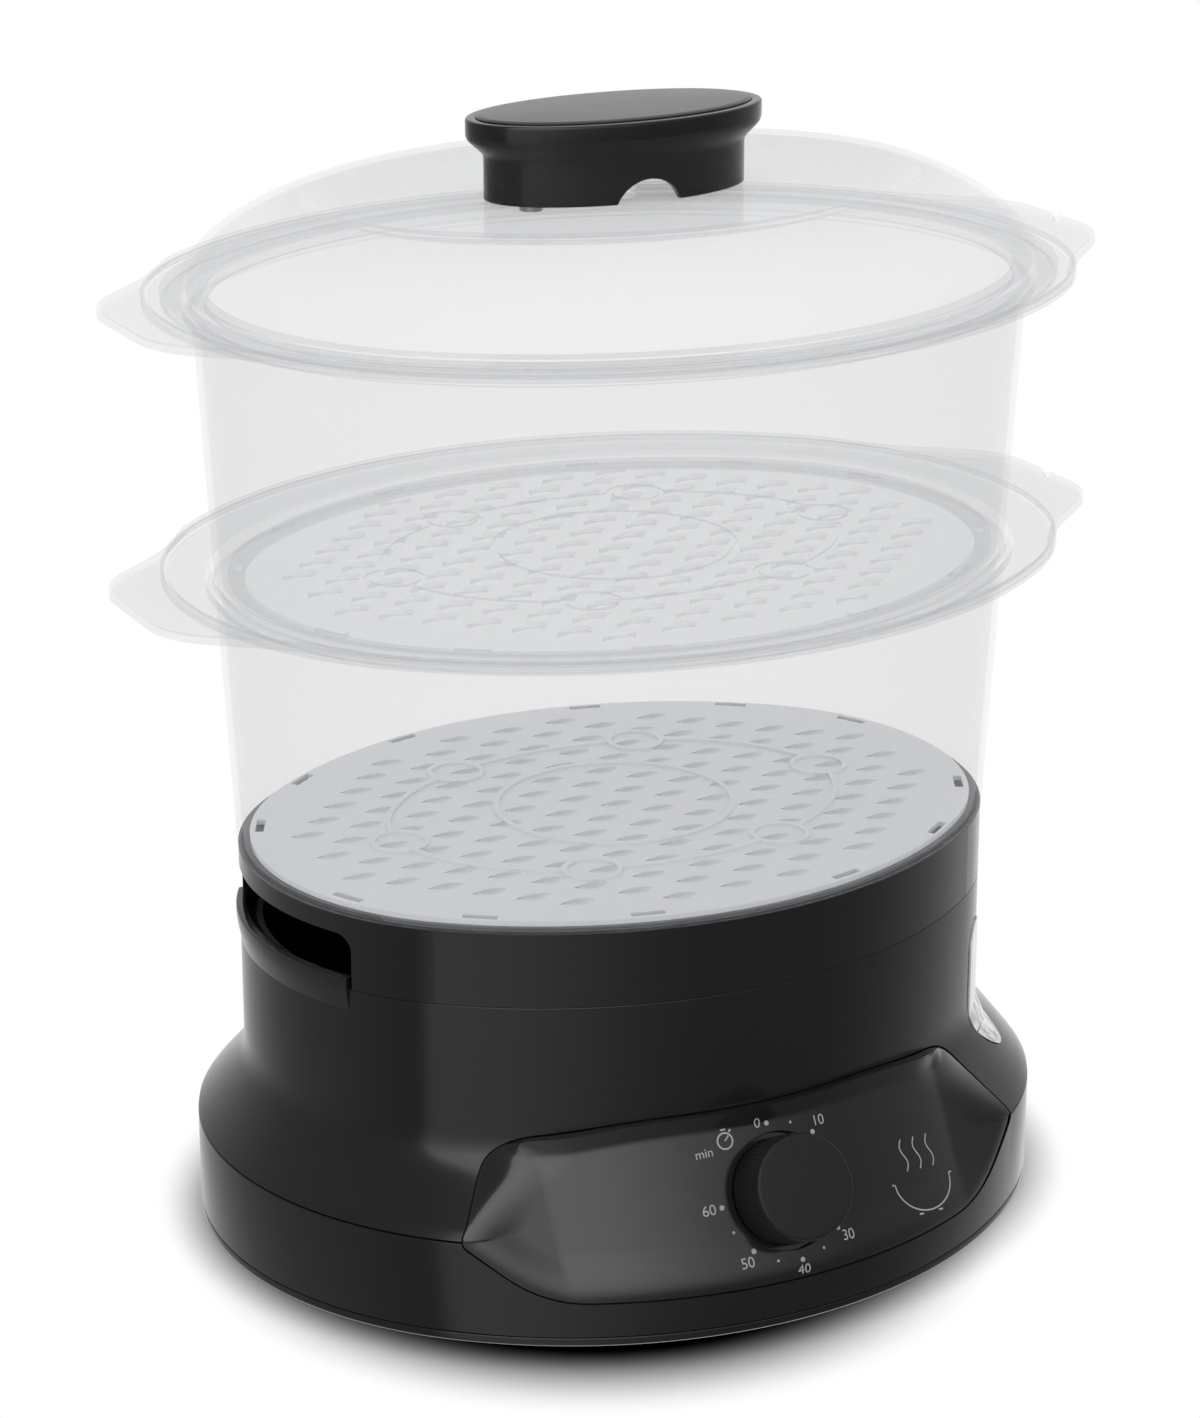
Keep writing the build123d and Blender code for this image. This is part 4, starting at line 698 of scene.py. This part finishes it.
def add_text(words, across, up, height):
    """Words in the plain built-in face, centred, with capitals of the given height."""
    curve = bpy.data.curves.new("print_words", "FONT")
    curve.body = words
    curve.size = height / CAPITAL_SHARE
    curve.align_x = "CENTER"
    curve.align_y = "CENTER"
    holder = bpy.data.objects.new("print_words", curve)
    bpy.context.scene.collection.objects.link(holder)
    graph = bpy.context.evaluated_depsgraph_get()
    graph.update()
    mesh = holder.evaluated_get(graph).to_mesh()
    corners = [(across + corner.co.x, up + corner.co.y) for corner in mesh.vertices]
    add_print(corners, [tuple(face.vertices) for face in mesh.polygons])
    holder.evaluated_get(graph).to_mesh_clear()
    bpy.data.objects.remove(holder)
    bpy.data.curves.remove(curve)


DIAL_DOT_RADIUS = 20.0
DIAL_START = -2.0
DEGREES_PER_MINUTE = 4.5
NUMBERED = (0, 10, 30, 40, 50, 60)
for minute in range(0, 61, 5):
    heading = math.radians(DIAL_START + DEGREES_PER_MINUTE * minute)
    out_x, out_y = math.sin(heading), math.cos(heading)
    add_dot(DIAL_DOT_RADIUS * out_x, DIAL_DOT_RADIUS * out_y, 0.42 if minute % 10 else 0.75)
    if minute in NUMBERED:
        reach = DIAL_DOT_RADIUS + (3.2 if abs(out_x) < 0.5 else 3.9)
        shift, drop = (-2.9, -2.6) if minute == 0 else (0.0, 0.0)
        add_text(str(minute), reach * out_x + shift, reach * out_y + drop, 3.1)
add_text("min", -21.6, 15.3, 2.7)

# Stopwatch: ring, crown, hand and side button.
WATCH = (-14.6, 17.6)
add_arc(WATCH, (2.3, 2.3), 0, 360, 0.5)
add_line([(-15.4, 20.9), (-13.8, 20.9)], 0.55)
add_line([WATCH, (-13.3, 18.9)], 0.4)
add_line([(-12.9, 19.9), (-12.3, 20.6)], 0.55)

# Bowl: its hollow, brim and foot, and three plumes of steam.
BOWL = (50.0, -6.0)
add_arc(BOWL, (11.5, 9.0), 180, 360, 0.42)
add_line([(BOWL[0] - 12.6, BOWL[1]), (BOWL[0] + 12.6, BOWL[1])], 0.5)
add_line([(BOWL[0] - 5.0, BOWL[1] - 9.6), (BOWL[0] + 5.0, BOWL[1] - 9.6)], 0.5)
rise = np.linspace(0, 1, 24)
for plume in (-5.5, 0.0, 5.5):
    sway = BOWL[0] + plume + np.sin(rise * 2 * math.pi)
    add_line(np.stack([sway, BOWL[1] + 3.0 + 9.5 * rise], axis=-1), 0.42)
panel_print = new_piece("panel_print", print_points, print_faces, print_silver)
settle(panel_print, "base", "gloss_black")

# ---------------------------------------------------------------- drip tray
# Black collar that stands on the housing and carries the baskets, with an inlet at its left end.
# The loose pan in it is pale and lets light through; the grid above it is painted light grey to
# match.
milky = moulded("milky_plastic", (0.60, 0.61, 0.63), 0.25)
dress(milky, "drip_tray")

# ---------------------------------------------------------------- baskets
# Two stacking baskets, each one clear moulding: tapered wall, stepped seat, flange and two ears.
# The plastic is polished, so it shows as pale edges and thin grey lines.
def clear_plastic(name, colour, face_on, edge_on, level, gloss):
    """Thin clear moulding: faint seen square on and denser seen along; faces that lie level are made
    denser still by level, a painted sheen on level faces.
    """
    material, tree, shader = new_material(
        name, Base_Color=(*colour, 1.0), Roughness=gloss, IOR=1.49, Specular_IOR_Level=0.35
    )
    facing = add_node(tree, "LayerWeight", Blend=0.1)
    cover = add_node(tree, "MapRange", To_Min=face_on, To_Max=edge_on)
    place = add_node(tree, "NewGeometry")
    upright = add_node(tree, "SeparateXYZ")
    # Painted sheen: the more a face points up, the more level adds to its cover.
    flat = add_node(tree, "Math")
    flat.operation = "POWER"
    flat.inputs[1].default_value = 12.0
    whole = add_node(tree, "Math")
    whole.operation = "MULTIPLY_ADD"
    whole.use_clamp = True
    whole.inputs[1].default_value = level
    tree.links.new(facing.outputs["Facing"], cover.inputs["Value"])
    tree.links.new(place.outputs["Normal"], upright.inputs["Vector"])
    tree.links.new(upright.outputs["Z"], flat.inputs[0])
    tree.links.new(flat.outputs["Value"], whole.inputs[0])
    tree.links.new(cover.outputs["Result"], whole.inputs[2])
    tree.links.new(whole.outputs["Value"], shader.inputs["Alpha"])
    return material


basket_plastic = clear_plastic("clear_basket_plastic", (0.49, 0.505, 0.53), 0.085, 0.20, 0.11, 0.08)
BASKET_DRAFT = 0.05
BASKET_PITCH = 81.2
BASKET_THICK = 1.8
BASKET_LEDGE_WIDTH = 7.0
BASKET_LEDGE_THICK = 1.2
STACK_GAP = 0.8
FLANGE_RISE = 5.3
FLANGE_DROP = 3.2
SEAT_DEPTH = 1.6
EAR_TIP_HALF = 24.6
EAR_ROOT = math.radians(29.0)
EAR_BLEND = 0.25
BEAD_RISE = 1.0
tray_top_z = collar_high.z


def flange_row(flange_out, z, grow=0.0):
    """Edge of the flange with an ear at each end, by the same directions as the oval's rows."""
    row = oval_row(wall_shape, flange_out + grow, z)
    ear_x = span("lower_basket_ears")[1].x + grow
    radius = wall_shape[1] + flange_out + grow
    corners = [np.array([[ear_x, 0.0]]), np.array([[ear_x, EAR_TIP_HALF]])]
    for lean in (EAR_ROOT, EAR_ROOT + EAR_BLEND):
        place = (wall_shape[0] + radius * math.cos(lean), radius * math.sin(lean))
        corners.append(np.array([place]))
    path = np.concatenate(soften(corners, [0, 13.0, 7.0, 0], closed=False, steps=16))
    steps = np.concatenate([[0], np.cumsum(np.linalg.norm(np.diff(path, axis=0), axis=1))])
    turn = np.linspace(0, 2 * math.pi, TURNS, endpoint=False)
    lean = np.abs(np.arctan2(np.sin(turn), np.abs(np.cos(turn))))
    share = lean / (EAR_ROOT + EAR_BLEND)
    for k in np.nonzero(share < 1)[0]:
        along = share[k] * steps[-1]
        row[k, 0] = np.interp(along, steps, path[:, 0]) * np.sign(np.cos(turn[k]))
        row[k, 1] = np.interp(along, steps, path[:, 1]) * np.sign(np.sin(turn[k]))
    return row


def basket(node, body, base_out, base_z, flange_out):
    """Wall with its seat and flange as one skin, and the ears' plate with its bead as another."""
    top_out = base_out + BASKET_DRAFT * BASKET_PITCH
    step = top_out + STACK_GAP
    seat = base_z + BASKET_PITCH
    rim = seat + FLANGE_RISE
    floor = rim - SEAT_DEPTH
    thick = BASKET_THICK
    section = [
        (base_out - thick / 3, base_z),
        (base_out, base_z + thick / 3),
        (top_out, seat - thick),
        (step + thick, seat - thick),
        (step + thick, floor - thick),
        (flange_out - thick, floor - thick),
        (flange_out - thick, rim - FLANGE_DROP),
        (flange_out, rim - FLANGE_DROP),
        (flange_out, rim),
        (flange_out - thick, rim),
        (flange_out - thick, floor),
        (step, floor),
        (step, seat),
        (top_out - thick, seat),
        (base_out - thick, base_z + BASKET_LEDGE_THICK),
        (base_out - thick - BASKET_LEDGE_WIDTH, base_z + BASKET_LEDGE_THICK),
        (base_out - thick - BASKET_LEDGE_WIDTH, base_z),
    ]
    rows = soften([oval_row(wall_shape, out, z) for out, z in section], 0.5, steps=3)
    piece = sweep(node + "_shell", rows, basket_plastic)
    settle(piece, body, "clear_plastic", node, node + "_rim")
    ear_rows = [
        oval_row(wall_shape, flange_out - thick / 2, rim - thick),
        flange_row(flange_out + 0.3, rim - thick),
        flange_row(flange_out + 0.3, rim + BEAD_RISE, -0.2),
        flange_row(flange_out - 0.9, rim + BEAD_RISE, -0.2),
        flange_row(flange_out - 0.9, rim - 0.1, -1.0),
        oval_row(wall_shape, flange_out - thick / 2, rim - 0.1),
    ]
    ear_rows = soften(ear_rows, [0, 0.4, 0.4, 0.4, 0.3, 0], steps=2)
    ears = sweep(node + "_ear_plate", ear_rows, basket_plastic)
    settle(ears, body, "clear_plastic", node + "_ears")


LOWER_OUT = 0.3
UPPER_OUT = LOWER_OUT + BASKET_DRAFT * BASKET_PITCH
LOWER_FLANGE_OUT = 20.0
UPPER_FLANGE_OUT = 22.7
basket("lower_basket", "lower_tier", LOWER_OUT, tray_top_z, LOWER_FLANGE_OUT)
basket("upper_basket", "upper_tier", UPPER_OUT, tray_top_z + BASKET_PITCH, UPPER_FLANGE_OUT)

# ---------------------------------------------------------------- basket floors
# Loose slotted floors of the same plastic, moulded a little milky, with a low hood over each slot;
# the hoods are whiter, a painted highlight.
# The lower one takes a lighter, denser copy of the plastic, painted light that stands in for the
# pale pan lit beneath it.
SLOT_PITCH = (9.35, 9.25)
SLOT_HALF = (5.2, 2.3)
SLOT_FIELD_MARGIN = 14.0
HOOD_HEIGHT = 0.7
HOOD_SHIFT = (0.9, -0.7)
GRID_THICK = 1.61
LENS_ROWS = 11
LENS_COLUMNS = 7
# Painted light: the lower floor's copy is whiter and nearly opaque.
lower_floor_painted_light_plastic = clear_plastic("lower_floor_painted_light_plastic", (0.92, 0.93, 0.95), 0.88, 0.95, 0.0, 0.16)
upper_floor_plastic = clear_plastic("upper_floor_plastic", (0.55, 0.57, 0.60), 0.12, 0.35, 0.0, 0.16)
# Painted highlight: the hoods take a whiter, denser plastic than the floors, so each shows as a
# bright lens.
painted_highlight_hood_plastic = clear_plastic("painted_highlight_hood_plastic", (0.88, 0.89, 0.91), 0.55, 0.80, 0.0, 0.12)


def hoods(name, body, floor_z):
    """Half-lens hoods over the slots, one for every other place of a rectangular lattice."""
    along, across = np.meshgrid(
        np.linspace(-1, 1, LENS_ROWS), np.linspace(-1, 1, LENS_COLUMNS), indexing="ij"
    )
    lens = np.stack(
        [
            SLOT_HALF[0] * along,
            SLOT_HALF[1] * across * (1 - along**2),
            HOOD_HEIGHT * (1 - along**2) * (1 - across**2),
        ],
        axis=-1,
    ).reshape(-1, 3)
    cells = []
    for i in range(LENS_ROWS - 1):
        for j in range(LENS_COLUMNS - 1):
            k = i * LENS_COLUMNS + j
            cells.append((k, k + LENS_COLUMNS, k + LENS_COLUMNS + 1, k + 1))
    points, faces = [], []
    for i in range(-12, 13):
        for j in range(-9, 10):
            x, y = i * SLOT_PITCH[0], j * SLOT_PITCH[1]
            reach_x = (abs(x) + SLOT_HALF[0]) / (collar_high.x - SLOT_FIELD_MARGIN)
            if (i + j) % 2 or reach_x**2 + (y / (collar_high.y - SLOT_FIELD_MARGIN)) ** 2 >= 1:
                continue
            start = len(points) * len(lens)
            points.append(lens + (x + HOOD_SHIFT[0], y + HOOD_SHIFT[1], floor_z))
            faces += [tuple(start + k for k in cell) for cell in cells]
    piece = new_piece(name, np.concatenate(points), faces, painted_highlight_hood_plastic)
    settle(piece, body, "clear_plastic")


dress(lower_floor_painted_light_plastic, "lower_grid")
dress(upper_floor_plastic, "upper_grid")
hoods("lower_floor_hoods", "lower_floor", span("lower_grid")[0].z + GRID_THICK)
hoods("upper_floor_hoods", "upper_floor", span("upper_grid")[0].z + GRID_THICK)

# ---------------------------------------------------------------- lid
# Clear domed lid, pressed thin, with a flat rim that drops over the upper basket.
# A shallow well in its crown takes the handle, and a hole in the well lets steam out.
LID_RIM_OUT = 17.4
LID_THICK = 1.8
LID_SEAT_Z = 283.8
WELL_OUT = -31.0
WELL_DEPTH = 3.3
WELL_UNDERSIDE = 5.1
STEAM_HOLE_RADIUS = 6.0
_, lid_high = span("lid")
spring_z = LID_SEAT_Z + LID_THICK
lid_plastic = clear_plastic("clear_lid_plastic", (0.49, 0.505, 0.53), 0.045, 0.19, 0.17, 0.06)


def dome(inset, steps=28):
    """Dome from its spring to its crest, as (offset, height), moved in by inset."""
    ends = [(11.5, spring_z), (13.4, 296.8), (-11.6, 310.3), (-22.7, lid_high.z)]
    made = []
    for t in np.linspace(0, 1, steps):
        weights = ((1 - t) ** 3, 3 * (1 - t) ** 2 * t, 3 * (1 - t) * t * t, t**3)
        out = sum(w * p[0] for w, p in zip(weights, ends))
        z = sum(w * p[1] for w, p in zip(weights, ends))
        made.append((out - inset * (1 - t * t), z - inset * math.sin(t * math.pi / 2)))
    return made


# The lid's section: rim, dome, the well (None stands for its floor), the dome's inside and a
# locating rib that sits inside the upper basket.
RIB_OUT = (3.8, 4.9)
RIB_LOW_Z = LID_SEAT_Z - 2.4
RIM_LIP_Z = LID_SEAT_Z - 1.0
lid_section = [(LID_RIM_OUT - 0.4, RIM_LIP_Z), (LID_RIM_OUT, LID_SEAT_Z), (LID_RIM_OUT, spring_z)]
lid_section += dome(0)
lid_section += [(WELL_OUT, lid_high.z - WELL_DEPTH), None, (WELL_OUT, lid_high.z - WELL_UNDERSIDE)]
lid_section += list(reversed(dome(LID_THICK)))
lid_section += [
    (RIB_OUT[0], spring_z),
    (RIB_OUT[0], RIB_LOW_Z),
    (RIB_OUT[1], RIB_LOW_Z),
    (RIB_OUT[1], LID_SEAT_Z),
    (LID_RIM_OUT - 1.6, LID_SEAT_Z),
    (LID_RIM_OUT - 1.6, RIM_LIP_Z),
]


def well_floor(z):
    """Rows from the well's edge in to the steam hole."""
    turn = np.linspace(0, 2 * math.pi, TURNS, endpoint=False)
    across, along = STEAM_HOLE_RADIUS * np.cos(turn), STEAM_HOLE_RADIUS * np.sin(turn)
    hole = np.stack([across, along, np.full_like(turn, z)], axis=-1)
    edge = oval_row(wall_shape, WELL_OUT, z)
    return [edge + share * (hole - edge) for share in (0.1, 0.4, 0.7, 0.9, 1.0)]


lid_rows = []
for place in lid_section:
    if place is None:
        lid_rows += well_floor(lid_high.z - WELL_DEPTH)
        lid_rows += list(reversed(well_floor(lid_high.z - WELL_UNDERSIDE)))
    else:
        lid_rows.append(oval_row(wall_shape, *place))
lid_shell = sweep("lid_dome", lid_rows, lid_plastic)
settle(lid_shell, "cover", "clear_plastic", "lid")

# ---------------------------------------------------------------- lid handle
# Black oval grip on a narrower stem, screwed up through the lid; two notches let steam past.
# Its top is a separate inlaid cap.
STEM_HALF = (40.7, 21.6)
GRIP_HALF = (46.2, 23.9)
STEM_RISE = 12.8
GRIP_FLARE = 4.8
GRIP_RING = 3.0
CAP_SEAT = 1.1
GRIP_TOP_THICK = 4.0
STEM_THICK = 2.4
SEAT_HALF = tuple(half - GRIP_RING for half in GRIP_HALF)
BORE_HALF = tuple(half - STEM_THICK for half in STEM_HALF)
handle_low, handle_high = span("lid_handle")


def ellipse_row(half_x, half_y, z, count=192):
    """Points round an ellipse."""
    turn = np.linspace(0, 2 * math.pi, count, endpoint=False)
    return np.stack([half_x * np.cos(turn), half_y * np.sin(turn), np.full_like(turn, z)], axis=-1)


stem_top = handle_low.z + STEM_RISE
handle_rows = [
    ellipse_row(*STEM_HALF, handle_low.z),
    ellipse_row(*STEM_HALF, stem_top),
    ellipse_row(*GRIP_HALF, stem_top + GRIP_FLARE),
    ellipse_row(*GRIP_HALF, handle_high.z),
    ellipse_row(*SEAT_HALF, handle_high.z),
    ellipse_row(*SEAT_HALF, handle_high.z - CAP_SEAT),
    ellipse_row(1.0, 0.5, handle_high.z - CAP_SEAT),
    ellipse_row(1.0, 0.5, handle_high.z - GRIP_TOP_THICK),
    ellipse_row(*BORE_HALF, handle_high.z - GRIP_TOP_THICK),
    ellipse_row(*BORE_HALF, handle_low.z),
]
handle_rows = soften(handle_rows, [0.3, 1.5, 1.6, 0.9, 0.3, 0, 0, 0, 0, 0], steps=5)
cap_black = moulded("cap_black_plastic", (0.0105, 0.0107, 0.0112), 0.24)
lid_handle = sweep("lid_handle_grip", handle_rows, satin_black)
NOTCH_RADIUS = 11.0
NOTCH_SINK = 6.7
notch_z = handle_low.z + NOTCH_SINK - NOTCH_RADIUS
notch = [
    (NOTCH_RADIUS * math.cos(turn), notch_z + NOTCH_RADIUS * math.sin(turn))
    for turn in np.linspace(0, 2 * math.pi, 64, endpoint=False)
]
carve(lid_handle, prism("cutter", notch, -40, 40))
settle(lid_handle, "cover", "satin_black", "lid_handle")

cap_low, cap_high = span("lid_handle_cap")
CAP_CROWN_REACH = 19.5
CAP_CROWN_RISE = 0.35
cap_half = ((cap_high.x - cap_low.x) / 2, (cap_high.y - cap_low.y) / 2)
cap_rows = [ellipse_row(*cap_half, cap_low.z), ellipse_row(*cap_half, cap_high.z - 0.7)]
for inset in np.linspace(0.6, CAP_CROWN_REACH, 12):
    crown = cap_high.z - CAP_CROWN_RISE * (1 - inset / CAP_CROWN_REACH) ** 2
    cap_rows.append(ellipse_row(cap_half[0] - inset, cap_half[1] - inset, crown))
cap_rows.append(ellipse_row(cap_half[0] - CAP_CROWN_REACH, 0.05, cap_high.z))
handle_cap = sweep("handle_cap_inlay", cap_rows, cap_black, closed=False)
settle(handle_cap, "cover", "satin_black", "lid_handle_cap")

# ---------------------------------------------------------------- studio
# White floor that glows white to the eye, with a painted shadow round the object, and broad lamps
# overhead and at the sides.
# The floor is left out of reflections, which see the painted room instead.
FLOOR_SIZE = 12.0
floor_mesh = bpy.data.meshes.new("floor")
floor_corners = [
    (x * FLOOR_SIZE, y * FLOOR_SIZE, 0) for x, y in ((-1, -1), (1, -1), (1, 1), (-1, 1))
]
floor_mesh.from_pydata(floor_corners, [], [(0, 1, 2, 3)])
floor = bpy.data.objects.new("floor", floor_mesh)
bpy.context.scene.collection.objects.link(floor)
floor_white, floor_tree, floor_shader = new_material(
    "floor_white", Roughness=0.9, Specular_IOR_Level=0.0
)
floor_link = floor_tree.links.new
floor_mesh.materials.append(floor_white)
floor.visible_glossy = False
paths = add_node(floor_tree, "LightPath")
bounce = add_node(floor_tree, "MapRange", To_Min=0.8, To_Max=0.0)
floor_link(paths.outputs["Is Camera Ray"], bounce.inputs["Value"])
floor_link(bounce.outputs["Result"], floor_shader.inputs["Base Color"])
# Painted contact shade: next to the object the floor's glow is darkened by ambient occlusion.
painted_contact_shade = add_node(floor_tree, "AmbientOcclusion", Distance=0.015)
painted_contact_shade.samples = 24
shade = add_node(floor_tree, "MapRange", From_Min=0.48, From_Max=0.97, To_Min=0.40)
floor_link(painted_contact_shade.outputs["AO"], shade.inputs["Value"])

# Painted shadow: a broad soft pool painted on the floor in front of the foot, as if the light came
# from behind: an oval field that fades from its core out to 1.
SHADOW_POOL_CENTRE = (-0.021, -0.022)
SHADOW_POOL_HALF = (0.127, 0.131)
SHADOW_POOL_CORE = 0.70
ground = add_node(floor_tree, "TexCoord")
painted_shadow_place = add_node(floor_tree, "Mapping", Location=(*SHADOW_POOL_CENTRE, 0.0), Scale=(*SHADOW_POOL_HALF, 1.0))
painted_shadow_place.vector_type = "TEXTURE"
painted_shadow_reach = add_node(floor_tree, "VectorMath")
painted_shadow_reach.operation = "LENGTH"
painted_shadow_pool = add_node(floor_tree, "MapRange", From_Min=SHADOW_POOL_CORE, From_Max=1.0)
painted_shadow_pool.interpolation_type = "SMOOTHSTEP"
both = add_node(floor_tree, "Math")
both.operation = "MULTIPLY"
floor_link(ground.outputs["Object"], painted_shadow_place.inputs["Vector"])
floor_link(painted_shadow_place.outputs["Vector"], painted_shadow_reach.inputs[0])
floor_link(painted_shadow_reach.outputs["Value"], painted_shadow_pool.inputs["Value"])
floor_link(shade.outputs["Result"], both.inputs[0])
floor_link(painted_shadow_pool.outputs["Result"], both.inputs[1])
floor_link(both.outputs["Value"], floor_shader.inputs["Emission Color"])
floor_link(paths.outputs["Is Camera Ray"], floor_shader.inputs["Emission Strength"])

# Surround: white to the eye, even to matt surfaces. To polish it is a room with a soft box at the
# front left, which has a hard left edge and fades to the right, given as (bearing, brightness) low
# down and high up.
LOW_ROOM = (
    (-180, 0.25), (-163, 0.17), (-150, 0.14), (-148, 0.66), (-128, 0.60), (-111, 0.41),
    (-94, 0.22), (-77, 0.12), (-43, 0.12), (-26, 0.20), (-10, 0.36), (10, 0.60),
    (40, 1.00), (90, 0.75), (132, 0.39), (149, 0.33), (165, 0.29), (180, 0.25),
)
HIGH_ROOM = (
    (-180, 0.22), (-163, 0.25), (-150, 0.35), (-148, 2.00), (-128, 2.30), (-107, 1.90),
    (-82, 1.00), (-60, 0.55), (-43, 0.30), (-26, 0.35), (-10, 0.45), (10, 0.70),
    (62, 0.95), (110, 0.60), (140, 0.30), (180, 0.22),
)
world = bpy.data.worlds.new("studio")
bpy.context.scene.world = world
world.use_nodes = True
world.cycles.sampling_method = "NONE"
air = world.node_tree
air_link = air.links.new
sky = air.nodes["Background"]
sky.inputs["Color"].default_value = (1.0, 1.0, 1.0, 1.0)
direction = add_node(air, "TexCoord")
parts = add_node(air, "SeparateXYZ")
air_link(direction.outputs["Generated"], parts.inputs["Vector"])
bearing = add_node(air, "Math")
bearing.operation = "ARCTAN2"
air_link(parts.outputs["Y"], bearing.inputs[0])
air_link(parts.outputs["X"], bearing.inputs[1])
turned = add_node(air, "MapRange", From_Min=-math.pi, From_Max=math.pi)
air_link(bearing.outputs["Value"], turned.inputs["Value"])


def panorama(room):
    """Ramp over the bearing for one height of the room."""
    ramp = add_node(air, "ValToRGB")
    stops = ramp.color_ramp.elements
    for k, (angle, brightness) in enumerate(room):
        stop = stops[k] if k < 2 else stops.new(1.0)
        stop.position = (angle + 180) / 360
        stop.color = (brightness, brightness, brightness, 1.0)
    air_link(turned.outputs["Result"], ramp.inputs["Fac"])
    return ramp.outputs["Color"]


LOW_ROOM_Z = -0.35
HIGH_ROOM_Z = 0.70
climb = add_node(air, "MapRange", From_Min=LOW_ROOM_Z, From_Max=HIGH_ROOM_Z)
climb.interpolation_type = "SMOOTHSTEP"
air_link(parts.outputs["Z"], climb.inputs["Value"])
polish = add_node(air, "Mix")
air_link(climb.outputs["Result"], polish.inputs["Factor"])
air_link(panorama(LOW_ROOM), polish.inputs["A"])
air_link(panorama(HIGH_ROOM), polish.inputs["B"])
SURROUND = 0.72
rays = add_node(air, "LightPath")
plain = add_node(air, "MapRange", To_Min=SURROUND, To_Max=1.0)
air_link(rays.outputs["Is Camera Ray"], plain.inputs["Value"])
choice = add_node(air, "Mix")
air_link(rays.outputs["Is Glossy Ray"], choice.inputs["Factor"])
air_link(plain.outputs["Result"], choice.inputs["A"])
air_link(polish.outputs["Result"], choice.inputs["B"])
air_link(choice.outputs["Result"], sky.inputs["Strength"])


def soft_box(name, place, aim, width, height, power):
    """Rectangular lamp that reflections do not see."""
    data = bpy.data.lights.new(name, "AREA")
    data.shape = "RECTANGLE"
    data.size, data.size_y, data.energy = width, height, power
    lamp = bpy.data.objects.new(name, data)
    lamp.location = place
    lamp.rotation_mode = "QUATERNION"
    lamp.rotation_quaternion = (Vector(aim) - Vector(place)).to_track_quat("-Z", "Y")
    lamp.visible_glossy = False
    bpy.context.scene.collection.objects.link(lamp)


soft_box("overhead", (0.0, 0.1, 1.6), (0, 0, 0.1), 1.6, 1.6, 6.0)
soft_box("left_box", (-1.3, -0.5, 0.6), (0, 0, 0.15), 0.7, 1.2, 4.0)
soft_box("front_right_box", (0.9, -1.5, 0.8), (0, 0, 0.15), 0.9, 1.0, 4.0)

# ---------------------------------------------------------------- camera
# Long portrait lens, a little above the lid's height and to the left of the panel.
AIM = Vector((-4.90, 0.0, 151.46)) * MM
DISTANCE = 1182.22 * MM
ELEVATION = math.radians(19.34)
AZIMUTH = math.radians(-27.55)
LENS = 100.19
SENSOR = 36.0
level_reach = math.cos(ELEVATION)
away = Vector(
    (math.sin(AZIMUTH) * level_reach, -math.cos(AZIMUTH) * level_reach, math.sin(ELEVATION))
)
camera_data = bpy.data.cameras.new("camera")
camera_data.lens = LENS
camera_data.sensor_width = SENSOR
camera = bpy.data.objects.new("camera", camera_data)
camera.location = AIM + away * DISTANCE
camera.rotation_mode = "QUATERNION"
camera.rotation_quaternion = (-away).to_track_quat("-Z", "Y")
bpy.context.scene.collection.objects.link(camera)
bpy.context.scene.camera = camera
bpy.context.scene.view_settings.view_transform = "Standard"
bpy.context.scene.cycles.transparent_max_bounces = 48
